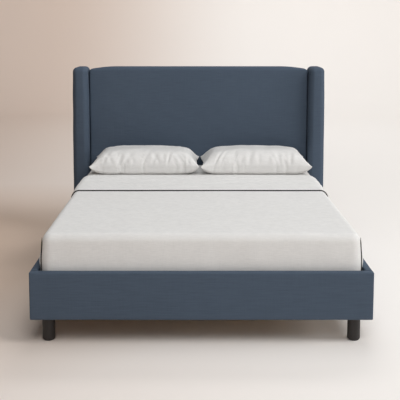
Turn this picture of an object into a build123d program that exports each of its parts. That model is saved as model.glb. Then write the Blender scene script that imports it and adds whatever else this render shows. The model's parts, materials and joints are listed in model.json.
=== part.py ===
"""An upholstered wingback bed with its mattress, sheets and two pillows.

Millimetres, +Z up. X runs across the bed and +Y from the foot to the head. The origin is on the floor,
midway between the sides and midway between the footboard's front and the headboard's back.
Left is -X, as seen from the foot of the bed.
"""

from build123d import *
import os

os.makedirs("parts", exist_ok=True)

# Driving sizes of the mattress, which the frame is built around
mattress_width = 1524
mattress_length = 2032
mattress_thickness = 254
mattress_corner_radius = 40
mattress_edge_radius = 34
ticking_thickness = 3
comfort_foam_thickness = 50

# Upholstery shared by every covered piece
cover_thickness = 2
cover_flap = 45

# Side rails and footboard
side_gap = 24
foot_gap = 12
head_gap = 9
rail_height = 234
rail_board_thickness = 23
rail_foam_thickness = 7
rail_top_foam = 6
rail_edge_radius = 7
footboard_board_thickness = 25
footboard_foam_thickness = 9
mattress_recess = 86

# Headboard panel
headboard_height = 1230
headboard_frame_depth = 60
headboard_face_board = 5
headboard_foam_thickness = 45
headboard_top_foam = 25
headboard_side_foam = 12
headboard_edge_radius = 27
headboard_corner_run = 100
headboard_corner_drop = 20
headboard_back_flap = 60
panel_side_gap = 1
headboard_post_width = 38
headboard_rail_height = 70
headboard_stud_width = 38
headboard_stud_count = 3
headboard_middle_rail_share = 0.55

# Wings
wing_thickness = 114
wing_depth = 200
wing_front_foam = 25
wing_side_foam = 12
wing_top_foam = 18
wing_edge_radius = 26
wing_top_radius = 34
wing_taper = 7
wing_taper_height = 260
wing_stile_width = 45
wing_cross_rail = 60
wing_cross_rail_count = 4

# Legs
leg_height = 122
leg_diameter = 62
leg_bevel = 3
leg_inset = 77
glide_thickness = 5
glide_inset = 5
corner_block_size = 110
corner_block_height = 38
hanger_bolt_diameter = 8
hanger_bolt_length = 60

# Slats, ledgers and centre support
slat_width = 70
slat_thickness = 18
slat_count = 14
slat_end_clearance = 4
slat_end_margin = 15
ledger_height = 30
ledger_width = 40
webbing_width = 30
webbing_thickness = 1.5
webbing_place_share = 0.5
beam_width = 40
beam_height = 60
hanger_sheet = 2.5
hanger_seat = 45
hanger_ear = 30
head_cleat_thickness = 28
head_cleat_length = 900
centre_leg_diameter = 45
centre_leg_place_share = 0.25
leveller_gap = 12
leveller_pad_diameter = 38
leveller_pad_thickness = 8
leveller_stud_diameter = 8
leveller_stud_length = 60
leveller_nut_flange = 22
leveller_nut_barrel = 11
leveller_nut_length = 16
leveller_nut_flange_thickness = 2

# Steel joint hardware
bracket_leg = 100
bracket_height = 45
bracket_sheet = 3
bracket_bend_radius = 5
bolt_diameter = 8
bolt_head_diameter = 14
bolt_head_height = 4.5
bolt_end_margin = 22
bolt_pitch = 50
tee_nut_flange = 22
tee_nut_flange_thickness = 1.5
tee_nut_barrel = 10.5
tee_nut_length = 10
wing_bolt_count = 3
wing_bolt_margin = 90
wing_bolt_engagement = 30
wing_plate_bolt_pitch = 20
washer_diameter = 20
washer_thickness = 2

# Bedding
fitted_sheet_thickness = 1.5
flat_sheet_thickness = 3
turndown_length = 508
fold_to_pillows = 34
piping_diameter = 7
corner_piping_inset = 4
corner_piping_top_drop = 22
pillow_depth = 450
pillow_seam_height = 52
pillow_crown_height = 114
pillow_case_thickness = 2
pillow_spacing = 6
pillow_end_margin = 9
pillow_sideways_shift = 6
pillow_head_gap = 7

# Shares that shape a pillow, level by level, from its flat underside up past its seam to its crown
level_shares = (-1, -0.5, 0, 0.25, 0.5, 0.75, 0.9, 1)
reach_along_shares = (0.74, 0.93, 1, 0.945, 0.86, 0.75, 0.64, 0.4)
reach_across_shares = (0.8, 0.97, 1, 0.965, 0.87, 0.67, 0.46, 0.2)
corner_shares = (0.35, 0.2, 0.02, 0.15, 0.3, 0.4, 0.35, 0.15)
drawn_in_shares = (-0.05, -0.03, 0.05, -0.03, -0.06, -0.08, -0.06, -0.04)

# Clearances
fit_clearance = 0.2
running_clearance = 0.05
soft_clearance = 0.3
overrun = 5

# Sizes that follow from the driving ones
cover_wall = 2 * cover_thickness
footboard_thickness = cover_wall + footboard_foam_thickness + footboard_board_thickness
rail_thickness = cover_wall + rail_foam_thickness + rail_board_thickness
headboard_thickness = cover_wall + headboard_foam_thickness + headboard_face_board + headboard_frame_depth
overall_length = footboard_thickness + foot_gap + mattress_length + head_gap + headboard_thickness

foot_face = -overall_length / 2
foot_inner = foot_face + footboard_thickness
foot_board_back = foot_inner - cover_thickness
head_face = overall_length / 2
panel_front = head_face - headboard_thickness
wing_front = head_face - wing_depth
rail_inner = mattress_width / 2 + side_gap
rail_outer = rail_inner + rail_thickness
rail_board_inner = rail_inner + cover_thickness
wing_inner = rail_inner
wing_outer = wing_inner + wing_thickness
wing_frame_inner = wing_inner + cover_thickness + wing_side_foam
panel_half_width = wing_inner - panel_side_gap

rail_bottom = leg_height
rail_top = rail_bottom + rail_height
slat_top = rail_top - mattress_recess
slat_bottom = slat_top - slat_thickness
ledger_bottom = slat_bottom - ledger_height
beam_bottom = slat_bottom - beam_height
mattress_bottom = slat_top
mattress_top = mattress_bottom + mattress_thickness
mattress_front = foot_inner + foot_gap
mattress_back = mattress_front + mattress_length
bracket_bottom = ledger_bottom - bracket_height - overrun
bracket_middle = bracket_bottom + bracket_height / 2
sides = (("left", -1), ("right", 1))


def block(low, high):
    """A plain board between two opposite corners."""
    size = [b - a for a, b in zip(low, high)]
    middle = tuple((a + b) / 2 for a, b in zip(low, high))
    with BuildPart() as board:
        with Locations(middle):
            Box(*size)
    return board.part


def mirrored_span(sign, near, far):
    """The low and high X of a stretch from near to far on the side that sign gives."""
    return sorted((sign * near, sign * far))


def cylinder_along(axis, start, radius, length):
    """A round bar from start, along a unit axis."""
    with BuildPart() as bar:
        with BuildSketch(Plane(origin=start, z_dir=axis)):
            Circle(radius)
        extrude(amount=length)
    return bar.part


def save(shape, name):
    """Label a finished piece and write it."""
    shape.label = name
    export_step(shape, f"parts/{name}.step")


def joined(pieces):
    """Separate solids of one kind, kept as one group."""
    return Compound(children=[solid for piece in pieces for solid in piece.solids()])


def cut_all(shape, cutters):
    """The shape with each cutter taken out of it."""
    with BuildPart() as trimmed:
        add(shape)
        for cutter in cutters:
            add(cutter, mode=Mode.SUBTRACT)
    return trimmed.part


# Bolts and tee nuts of the corner joints: a place is the point on the steel's face under the bolt's head

def joint_bolt(place, axis, length):
    """A hexagon-head bolt whose head stands on place and whose shank runs along axis."""
    with BuildPart() as bolt:
        with BuildSketch(Plane(origin=place, z_dir=axis)):
            Circle(bolt_diameter / 2)
        extrude(amount=length)
        with BuildSketch(Plane(origin=place, z_dir=axis)):
            RegularPolygon(bolt_head_diameter / 2, 6)
        extrude(amount=-bolt_head_height)
    return bolt.part


def tee_nut(place, axis):
    """A tee nut pressed in from behind: its flange's outer face is at place, its barrel runs against axis."""
    with BuildPart() as nut:
        with BuildSketch(Plane(origin=place, z_dir=axis)):
            Circle(tee_nut_flange / 2)
        extrude(amount=-tee_nut_flange_thickness)
        with BuildSketch(Plane(origin=place, z_dir=axis)):
            Circle(tee_nut_barrel / 2)
        extrude(amount=-tee_nut_length)
        with BuildSketch(Plane(origin=place, z_dir=axis)):
            Circle(bolt_diameter / 2 + fit_clearance)
        extrude(amount=-tee_nut_length, mode=Mode.SUBTRACT)
    return nut.part


def joint_holes(face, axis, board_thickness):
    """What a bolt and its tee nut take out of a board entered at face: a hole and the flange's seat."""
    far = tuple(f + a * board_thickness for f, a in zip(face, axis))
    inward = tuple(-a for a in axis)
    return [
        cylinder_along(axis, face, tee_nut_barrel / 2 + fit_clearance, board_thickness),
        cylinder_along(inward, far, tee_nut_flange / 2 + fit_clearance, tee_nut_flange_thickness),
    ]


bolt_reach = (bolt_end_margin, bolt_end_margin + bolt_pitch)
foot_rail_joints, foot_end_joints, head_rail_joints, head_wing_joints = [], [], [], []
wing_frame_front = wing_front + cover_thickness + wing_front_foam
head_plate_end = wing_frame_front + wing_stile_width
for side, sign in sides:
    outward = (sign, 0, 0)
    steel = sign * (rail_board_inner - bracket_sheet)
    for reach in bolt_reach:
        foot_rail_joints.append((sign, (steel, foot_inner + reach + cover_thickness, bracket_middle), outward))
        end_place = (sign * (rail_board_inner - reach), foot_board_back + bracket_sheet, bracket_middle)
        foot_end_joints.append((sign, end_place, (0, -1, 0)))
        head_rail_joints.append((sign, (steel, wing_front - reach, bracket_middle), outward))
    for place in (-wing_plate_bolt_pitch / 2, wing_plate_bolt_pitch / 2):
        head_wing_joints.append(
            (sign, (steel, wing_frame_front + wing_stile_width / 2 + place, bracket_middle), outward)
        )


def entry(joint):
    """Where a joint's bolt passes from the steel into the wood."""
    _, place, axis = joint
    return tuple(p + a * bracket_sheet for p, a in zip(place, axis))


def on_side(joints, sign):
    """The joints of one side of the bed."""
    return [joint for joint in joints if joint[0] == sign]


# Side rails: a board with foam on its outer face and top, wrapped in cloth that turns over its inner face

def rail_profile(sign, inset):
    """The rounded section of a rail, seen along the bed, taken in by inset all round."""
    with BuildSketch(Plane.XZ) as section_face:
        with Locations((sign * (rail_inner + rail_thickness / 2), rail_bottom + rail_height / 2)):
            RectangleRounded(
                rail_thickness - 2 * inset,
                rail_height - 2 * inset,
                rail_edge_radius - inset,
            )
    return section_face.sketch


rail_board_outer = rail_board_inner + rail_board_thickness
rail_board_top = rail_top - cover_thickness - rail_top_foam
for side, sign in sides:
    low_x, high_x = mirrored_span(sign, rail_board_inner, rail_board_outer)
    rail_core = block((low_x, foot_inner - overrun, rail_bottom),
                      (high_x, wing_front + overrun, rail_board_top))
    with BuildPart() as rail_board:
        with BuildSketch(Plane.XZ.offset(-foot_inner)):
            add(rail_profile(sign, cover_thickness))
        extrude(amount=foot_inner - wing_front)
        add(rail_core, mode=Mode.INTERSECT)
        for joint in on_side(foot_rail_joints + head_rail_joints, sign):
            for cutter in joint_holes(entry(joint), joint[2], rail_board_thickness):
                add(cutter, mode=Mode.SUBTRACT)
    save(rail_board.part, f"side_rail_{side}_board")

    with BuildPart() as rail_foam:
        with BuildSketch(Plane.XZ.offset(-foot_inner)):
            add(rail_profile(sign, cover_thickness))
        extrude(amount=foot_inner - wing_front)
        add(rail_core, mode=Mode.SUBTRACT)
    save(rail_foam.part, f"side_rail_{side}_foam")

    window_x = mirrored_span(sign, rail_inner - overrun, rail_board_inner)
    with BuildPart() as rail_cover:
        with BuildSketch(Plane.XZ.offset(-foot_inner)):
            add(rail_profile(sign, 0))
            add(rail_profile(sign, cover_thickness), mode=Mode.SUBTRACT)
        extrude(amount=foot_inner - wing_front)
        add(block((window_x[0], foot_inner - overrun, rail_bottom + cover_flap),
                  (window_x[1], wing_front + overrun, rail_top - cover_flap)), mode=Mode.SUBTRACT)
    save(rail_cover.part, f"side_rail_{side}_cover")

# Footboard: as the rails, with its cover closed over both ends

def footboard_envelope(inset):
    """The footboard's outside, taken in by inset, with softened edges."""
    with BuildPart() as envelope:
        with BuildSketch(Plane.YZ.offset(-(rail_outer - inset))):
            with Locations((foot_face + footboard_thickness / 2, rail_bottom + rail_height / 2)):
                RectangleRounded(
                    footboard_thickness - 2 * inset,
                    rail_height - 2 * inset,
                    rail_edge_radius - inset,
                )
        extrude(amount=2 * (rail_outer - inset))
    return envelope.part


foot_board_front = foot_board_back - footboard_board_thickness
foot_core_half = rail_outer - cover_thickness - rail_top_foam
foot_core = block((-foot_core_half, foot_board_front, rail_bottom),
                  (foot_core_half, foot_inner, rail_board_top))
with BuildPart() as footboard_board:
    add(footboard_envelope(cover_thickness))
    add(foot_core, mode=Mode.INTERSECT)
    for joint in foot_end_joints:
        for cutter in joint_holes(entry(joint), joint[2], footboard_board_thickness):
            add(cutter, mode=Mode.SUBTRACT)
save(footboard_board.part, "footboard_board")

with BuildPart() as footboard_foam:
    add(footboard_envelope(cover_thickness))
    add(foot_core, mode=Mode.SUBTRACT)
save(footboard_foam.part, "footboard_foam")

with BuildPart() as footboard_cover:
    add(footboard_envelope(0))
    add(footboard_envelope(cover_thickness), mode=Mode.SUBTRACT)
    add(block((-rail_board_inner, foot_board_back, rail_bottom + cover_flap),
              (rail_board_inner, foot_inner + overrun, rail_top - cover_flap)), mode=Mode.SUBTRACT)
save(footboard_cover.part, "footboard_cover")

# Headboard panel: a timber frame with a thin face board, foam over its front, top and sides, and a cloth cover

def headboard_envelope(inset):
    """The panel's outside, taken in by inset: its top droops towards the wings and its front is rounded."""
    half = panel_half_width - inset
    top = headboard_height - inset
    bottom = rail_bottom + inset
    shoulder = half - headboard_corner_run
    eave = top - headboard_corner_drop
    with BuildPart() as envelope:
        with BuildSketch(Plane.XZ.offset(inset - head_face)):
            with BuildLine():
                Polyline((-half, eave), (-half, bottom), (half, bottom), (half, eave))
                TangentArc((shoulder, top), (half, eave), tangent=(1, 0))
                Line((shoulder, top), (-shoulder, top))
                TangentArc((-shoulder, top), (-half, eave), tangent=(-1, 0))
            make_face()
        extrude(amount=headboard_thickness - 2 * inset)
        front = envelope.faces().sort_by(Axis.Y)[0]
        rim = front.edges().sort_by(Axis.Z)[1:]
        fillet(rim, headboard_edge_radius - inset)
    return envelope.part


frame_back = head_face - cover_thickness
frame_front = frame_back - headboard_frame_depth
face_board_front = frame_front - headboard_face_board
core_half = panel_half_width - cover_thickness - headboard_side_foam
core_bottom = rail_bottom + cover_thickness
core_top = headboard_height - cover_thickness - headboard_top_foam
post_inner = core_half - headboard_post_width
bolt_heights = [
    core_bottom + wing_bolt_margin + n * (core_top - core_bottom - 2 * wing_bolt_margin) / (wing_bolt_count - 1)
    for n in range(wing_bolt_count)
]
wing_bolt_y = frame_back - headboard_frame_depth / 2
wing_bolt_length = wing_frame_inner + wing_bolt_engagement - post_inner
wing_bolt_cutters = [
    cylinder_along((sign, 0, 0), (sign * post_inner, wing_bolt_y, z), bolt_diameter / 2 + fit_clearance,
                   wing_bolt_length + fit_clearance)
    for _, sign in sides
    for z in bolt_heights
]

posts = [
    block((min(sign * post_inner, sign * core_half), frame_front, core_bottom),
          (max(sign * post_inner, sign * core_half), frame_back, core_top))
    for _, sign in sides
]
with BuildPart() as headboard_posts:
    for post in posts:
        add(post)
    for cutter in wing_bolt_cutters:
        add(cutter, mode=Mode.SUBTRACT)
save(headboard_posts.part, "headboard_posts")

middle_rail_bottom = core_bottom + (core_top - core_bottom) * headboard_middle_rail_share
rail_levels = {
    "bottom": core_bottom,
    "middle": middle_rail_bottom,
    "top": core_top - headboard_rail_height,
}
for level, low in rail_levels.items():
    cross_rail = block((-post_inner, frame_front, low), (post_inner, frame_back, low + headboard_rail_height))
    save(cross_rail, f"headboard_{level}_rail")

stud_pitch = 2 * post_inner / (headboard_stud_count + 1)
stud_spans = (
    (core_bottom + headboard_rail_height, middle_rail_bottom),
    (middle_rail_bottom + headboard_rail_height, core_top - headboard_rail_height),
)
with BuildPart() as headboard_studs:
    for low, high in stud_spans:
        with BuildSketch(Plane.XY.offset(low)):
            with Locations((0, (frame_front + frame_back) / 2)):
                with GridLocations(stud_pitch, 0, headboard_stud_count, 1):
                    Rectangle(headboard_stud_width, headboard_frame_depth)
        extrude(amount=high - low)
save(headboard_studs.part, "headboard_studs")

face_board = block((-core_half, face_board_front, core_bottom), (core_half, frame_front, core_top))
save(face_board, "headboard_face_board")

with BuildPart() as headboard_foam:
    add(headboard_envelope(cover_thickness))
    add(block((-core_half, face_board_front, rail_bottom), (core_half, head_face, core_top)),
        mode=Mode.SUBTRACT)
    for cutter in wing_bolt_cutters:
        add(cutter, mode=Mode.SUBTRACT)
save(headboard_foam.part, "headboard_foam")

back_window = (
    (headboard_back_flap - panel_half_width, frame_back, rail_bottom + headboard_back_flap),
    (panel_half_width - headboard_back_flap, head_face, headboard_height - headboard_back_flap),
)
with BuildPart() as headboard_cover:
    add(headboard_envelope(0))
    add(headboard_envelope(cover_thickness), mode=Mode.SUBTRACT)
    add(block(back_window[0], (back_window[1][0], head_face + overrun, back_window[1][2])), mode=Mode.SUBTRACT)
    for cutter in wing_bolt_cutters:
        add(cutter, mode=Mode.SUBTRACT)
save(headboard_cover.part, "headboard_cover")

with BuildPart() as dust_cloth:
    with BuildSketch(Plane.XZ.offset(-head_face)):
        with Locations((0, (back_window[0][2] + back_window[1][2]) / 2)):
            Rectangle(2 * (back_window[1][0] - fit_clearance),
                      back_window[1][2] - back_window[0][2] - 2 * fit_clearance)
    extrude(amount=cover_thickness)
save(dust_cloth.part, "headboard_dust_cloth")

# Wings: a ladder frame in foam and cloth, drawn in a little at the top. A pad of the frame comes through a
# recess in the foam, level with the rail's board, and the joint plate is bolted to it.

def wing_envelope(sign, inset):
    """A wing's outside, taken in by inset."""
    near = wing_inner + inset
    far = wing_outer - inset
    top = headboard_height - inset
    bottom = rail_bottom + inset
    waist = headboard_height - wing_taper_height
    with BuildPart() as envelope:
        with BuildSketch(Plane.XZ.offset(inset - head_face)) as outline:
            with BuildLine():
                Polyline((sign * near, waist), (sign * near, bottom), (sign * far, bottom), (sign * far, waist))
                TangentArc((sign * far, waist), (sign * (far - wing_taper), top), tangent=(0, 1))
                Line((sign * (far - wing_taper), top), (sign * (near + wing_taper), top))
                TangentArc((sign * near, waist), (sign * (near + wing_taper), top), tangent=(0, 1))
            make_face()
            fillet(outline.vertices().group_by(Axis.Y)[-1], wing_top_radius - inset)
        extrude(amount=wing_depth - 2 * inset)
        front = envelope.faces().sort_by(Axis.Y)[0]
        rim = front.edges().sort_by(Axis.Z)[1:]
        fillet(rim, wing_edge_radius - inset)
    return envelope.part


wing_frame_top = headboard_height - cover_thickness - wing_top_foam
wing_frame_outer = wing_outer - cover_thickness - wing_side_foam
wing_leg_x = (wing_inner + wing_outer) / 2
wing_leg_y = wing_front + wing_depth / 2
recess_margin = overrun
head_recess_low = bracket_bottom - recess_margin
head_recess_high = bracket_bottom + bracket_height + recess_margin
leg_bolt_depth = hanger_bolt_length / 2
for side, sign in sides:
    frame_x = mirrored_span(sign, wing_frame_inner, wing_frame_outer)
    pad_x = mirrored_span(sign, rail_board_inner, wing_frame_inner)
    window_height = (wing_frame_top - core_bottom - wing_cross_rail_count * wing_cross_rail) / (
        wing_cross_rail_count - 1
    )
    with BuildPart() as wing_frame:
        add(block((frame_x[0], wing_frame_front, core_bottom), (frame_x[1], frame_back, wing_frame_top)))
        for n in range(wing_cross_rail_count - 1):
            low = core_bottom + wing_cross_rail + n * (window_height + wing_cross_rail)
            add(block((frame_x[0] - overrun, wing_frame_front + wing_stile_width, low),
                      (frame_x[1] + overrun, frame_back - wing_stile_width, low + window_height)),
                mode=Mode.SUBTRACT)
        add(block((pad_x[0], wing_frame_front, bracket_bottom),
                  (pad_x[1], head_plate_end, bracket_bottom + bracket_height)))
        for cutter in wing_bolt_cutters:
            add(cutter, mode=Mode.SUBTRACT)
        for joint in on_side(head_wing_joints, sign):
            add(cylinder_along(joint[2], joint[1], bolt_diameter / 2 + fit_clearance,
                               rail_board_thickness + bracket_sheet), mode=Mode.SUBTRACT)
        add(cylinder_along((0, 0, 1), (sign * wing_leg_x, wing_leg_y, rail_bottom),
                           hanger_bolt_diameter / 2 + fit_clearance, leg_bolt_depth + overrun),
            mode=Mode.SUBTRACT)
    save(wing_frame.part, f"wing_{side}_frame")

    recess_x = mirrored_span(sign, wing_inner - overrun, wing_frame_inner)
    recess = block((recess_x[0], wing_front - overrun, head_recess_low),
                   (recess_x[1], head_plate_end + recess_margin, head_recess_high))
    leg_hole = cylinder_along((0, 0, 1), (sign * wing_leg_x, wing_leg_y, rail_bottom - overrun),
                              hanger_bolt_diameter / 2 + fit_clearance, cover_thickness + 2 * overrun)
    with BuildPart() as wing_foam:
        add(wing_envelope(sign, cover_thickness))
        add(block((frame_x[0], wing_frame_front, rail_bottom), (frame_x[1], head_face, wing_frame_top)),
            mode=Mode.SUBTRACT)
        for cutter in (recess, *wing_bolt_cutters):
            add(cutter, mode=Mode.SUBTRACT)
    save(wing_foam.part, f"wing_{side}_foam")

    with BuildPart() as wing_cover:
        add(wing_envelope(sign, 0))
        add(wing_envelope(sign, cover_thickness), mode=Mode.SUBTRACT)
        for cutter in (recess, leg_hole, *wing_bolt_cutters):
            add(cutter, mode=Mode.SUBTRACT)
    save(wing_cover.part, f"wing_{side}_cover")

wing_bolts = []
for _, sign in sides:
    for z in bolt_heights:
        start = (sign * post_inner, wing_bolt_y, z)
        with BuildPart() as wing_bolt:
            add(cylinder_along((sign, 0, 0), start, bolt_diameter / 2, wing_bolt_length))
            add(cylinder_along((-sign, 0, 0), start, washer_diameter / 2, washer_thickness))
            head_start = (start[0] - sign * washer_thickness, wing_bolt_y, z)
            with BuildSketch(Plane(origin=head_start, z_dir=(-sign, 0, 0))):
                RegularPolygon(bolt_head_diameter / 2, 6)
            extrude(amount=bolt_head_height)
        wing_bolts.append(wing_bolt.part)
save(joined(wing_bolts), "wing_bolts")

# Steel at the four corners

def angle_bracket(sign):
    """A bent steel angle in the corner between a side rail and the footboard."""
    x_corner = sign * rail_board_inner
    with BuildPart() as angle:
        with BuildSketch(Plane.XY.offset(bracket_bottom)) as plan:
            with BuildLine():
                Polyline(
                    (x_corner, foot_board_back),
                    (x_corner, foot_board_back + bracket_leg),
                    (x_corner - sign * bracket_sheet, foot_board_back + bracket_leg),
                    (x_corner - sign * bracket_sheet, foot_board_back + bracket_sheet),
                    (x_corner - sign * bracket_leg, foot_board_back + bracket_sheet),
                    (x_corner - sign * bracket_leg, foot_board_back),
                    close=True,
                )
            make_face()
            bend = plan.vertices().sort_by_distance((sign * rail_outer, foot_face))
            fillet(bend[0], bracket_bend_radius)
            fillet(bend[1], bracket_bend_radius - bracket_sheet)
        extrude(amount=bracket_height)
    return angle.part


def bolt_clearance(joint):
    """The hole that a joint's bolt needs in the steel."""
    _, place, axis = joint
    back = tuple(p - a * overrun for p, a in zip(place, axis))
    return cylinder_along(axis, back, bolt_diameter / 2 + fit_clearance, bracket_sheet + 2 * overrun)


foot_brackets = [
    cut_all(angle_bracket(sign), [bolt_clearance(j) for j in on_side(foot_rail_joints + foot_end_joints, sign)])
    for _, sign in sides
]
save(joined(foot_brackets), "foot_angle_brackets")

head_plates = []
for _, sign in sides:
    plate_x = mirrored_span(sign, rail_board_inner - bracket_sheet, rail_board_inner)
    with BuildPart() as head_plate:
        add(block((plate_x[0], wing_front - bracket_leg, bracket_bottom),
                  (plate_x[1], head_plate_end, bracket_bottom + bracket_height)))
        for joint in on_side(head_rail_joints + head_wing_joints, sign):
            add(bolt_clearance(joint), mode=Mode.SUBTRACT)
    head_plates.append(head_plate.part)
save(joined(head_plates), "head_joint_plates")

bolt_reach_in_wood = rail_board_thickness + bracket_sheet - tee_nut_flange_thickness
for end, joints in (("foot", foot_rail_joints + foot_end_joints), ("head", head_rail_joints + head_wing_joints)):
    corner_bolts = [joint_bolt(place, axis, bolt_reach_in_wood) for _, place, axis in joints]
    save(joined(corner_bolts), f"{end}_corner_bolts")

tee_nuts = []
for joint in foot_rail_joints + head_rail_joints + foot_end_joints:
    board = footboard_board_thickness if joint in foot_end_joints else rail_board_thickness
    far = tuple(e + a * board for e, a in zip(entry(joint), joint[2]))
    tee_nuts.append(tee_nut(far, joint[2]))
save(joined(tee_nuts), "tee_nuts")

# Legs: plain turned posts with a hanger bolt above and a plastic glide below

front_leg_x = rail_outer - leg_inset
front_leg_y = foot_face + leg_inset
leg_places = {
    "front_leg_left": (-front_leg_x, front_leg_y),
    "front_leg_right": (front_leg_x, front_leg_y),
    "rear_leg_left": (-wing_leg_x, wing_leg_y),
    "rear_leg_right": (wing_leg_x, wing_leg_y),
}
leg_glides, leg_bolts = [], []
for name, (x, y) in leg_places.items():
    with BuildPart() as leg:
        with BuildSketch(Plane.XY.offset(glide_thickness)):
            with Locations((x, y)):
                Circle(leg_diameter / 2)
        extrude(amount=leg_height - glide_thickness)
        foot_rim = leg.edges().filter_by(GeomType.CIRCLE).sort_by(Axis.Z)[0]
        chamfer(foot_rim, leg_bevel)
        add(cylinder_along((0, 0, -1), (x, y, leg_height), hanger_bolt_diameter / 2 + fit_clearance, leg_bolt_depth),
            mode=Mode.SUBTRACT)
    save(leg.part, name)
    with BuildPart() as glide:
        with BuildSketch():
            with Locations((x, y)):
                Circle(leg_diameter / 2 - glide_inset)
        extrude(amount=glide_thickness)
        chamfer(glide.edges().filter_by(GeomType.CIRCLE).sort_by(Axis.Z)[0], glide_thickness / 3)
    leg_glides.append(glide.part)
    leg_bolts.append(
        cylinder_along((0, 0, 1), (x, y, leg_height - leg_bolt_depth), hanger_bolt_diameter / 2, hanger_bolt_length)
    )
save(joined(leg_glides), "leg_glides")
save(joined(leg_bolts), "leg_hanger_bolts")

corner_blocks = []
for _, sign in sides:
    block_x = mirrored_span(sign, rail_inner - corner_block_size, rail_inner)
    with BuildPart() as corner_block:
        add(block((block_x[0], foot_inner, rail_bottom),
                  (block_x[1], foot_inner + corner_block_size, rail_bottom + corner_block_height)))
        inner_edge = corner_block.edges().filter_by(Axis.Z).sort_by_distance((0, mattress_back, rail_bottom))[0]
        chamfer(inner_edge, corner_block_size / 3)
        with Locations((sign * front_leg_x, front_leg_y, rail_bottom + corner_block_height)):
            Hole(hanger_bolt_diameter / 2 + fit_clearance)
    corner_blocks.append(corner_block.part)
save(joined(corner_blocks), "corner_blocks")

# Slats on their ledgers, with the webbing that spaces them

slat_half = wing_inner - slat_end_clearance
first_slat = foot_inner + slat_end_margin + slat_width / 2
last_slat = panel_front - head_cleat_thickness - slat_end_margin - slat_width / 2
slat_pitch = (last_slat - first_slat) / (slat_count - 1)
with BuildPart() as slats:
    with BuildSketch(Plane.XY.offset(slat_bottom)):
        with Locations((0, (first_slat + last_slat) / 2)):
            with GridLocations(0, slat_pitch, 1, slat_count):
                Rectangle(2 * slat_half, slat_width)
    extrude(amount=slat_thickness)
    chamfer(slats.edges().filter_by(Axis.X), slat_thickness / 6)
save(slats.part, "slats")

ledger_inner = rail_board_inner - ledger_width
for side, sign in sides:
    with BuildPart() as ledger:
        with BuildSketch(Plane.XY.offset(ledger_bottom)):
            with BuildLine():
                Polyline(
                    (sign * ledger_inner, foot_inner),
                    (sign * rail_board_inner, foot_inner),
                    (sign * rail_board_inner, wing_front),
                    (sign * wing_inner, wing_front),
                    (sign * wing_inner, panel_front),
                    (sign * ledger_inner, panel_front),
                    close=True,
                )
            make_face()
        extrude(amount=ledger_height)
    save(ledger.part, f"side_ledger_{side}")

webbing_x = slat_half * webbing_place_share
with BuildPart() as webbing:
    with BuildSketch(Plane.XY.offset(slat_bottom)):
        with Locations((0, (first_slat + last_slat) / 2)):
            with GridLocations(2 * webbing_x, 0, 2, 1):
                Rectangle(webbing_width, last_slat - first_slat + slat_width)
    extrude(amount=-webbing_thickness)
save(webbing.part, "slat_webbing")

head_cleat = block((-head_cleat_length / 2, panel_front - head_cleat_thickness, beam_bottom - overrun),
                   (head_cleat_length / 2, panel_front, slat_bottom))
save(head_cleat, "headboard_cleat")

beam_front = foot_board_back + hanger_sheet
beam_back = panel_front - head_cleat_thickness - hanger_sheet
centre_beam = block((-beam_width / 2, beam_front, beam_bottom), (beam_width / 2, beam_back, slat_bottom))
save(centre_beam, "centre_beam")


def beam_hanger(wall, direction):
    """A folded steel hanger: a back plate on the wall and a U-shaped stirrup that the beam drops into."""
    half = beam_width / 2 + running_clearance
    outer = half + hanger_sheet
    back = sorted((wall, wall + direction * hanger_sheet))
    seat = sorted((wall, wall + direction * hanger_seat))
    low = beam_bottom - hanger_sheet
    with BuildPart() as hanger:
        add(block((-outer - hanger_ear, back[0], beam_bottom - hanger_sheet),
                  (outer + hanger_ear, back[1], slat_bottom)))
        add(block((-outer, seat[0], low), (outer, seat[1], slat_bottom)))
        inside = sorted((wall + direction * hanger_sheet, wall + direction * (hanger_seat + overrun)))
        add(block((-half, inside[0], beam_bottom), (half, inside[1], slat_bottom + overrun)), mode=Mode.SUBTRACT)
    return hanger.part


hangers = [beam_hanger(foot_board_back, 1), beam_hanger(panel_front - head_cleat_thickness, -1)]
save(joined(hangers), "beam_hangers")

# Centre legs with screw levellers

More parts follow.
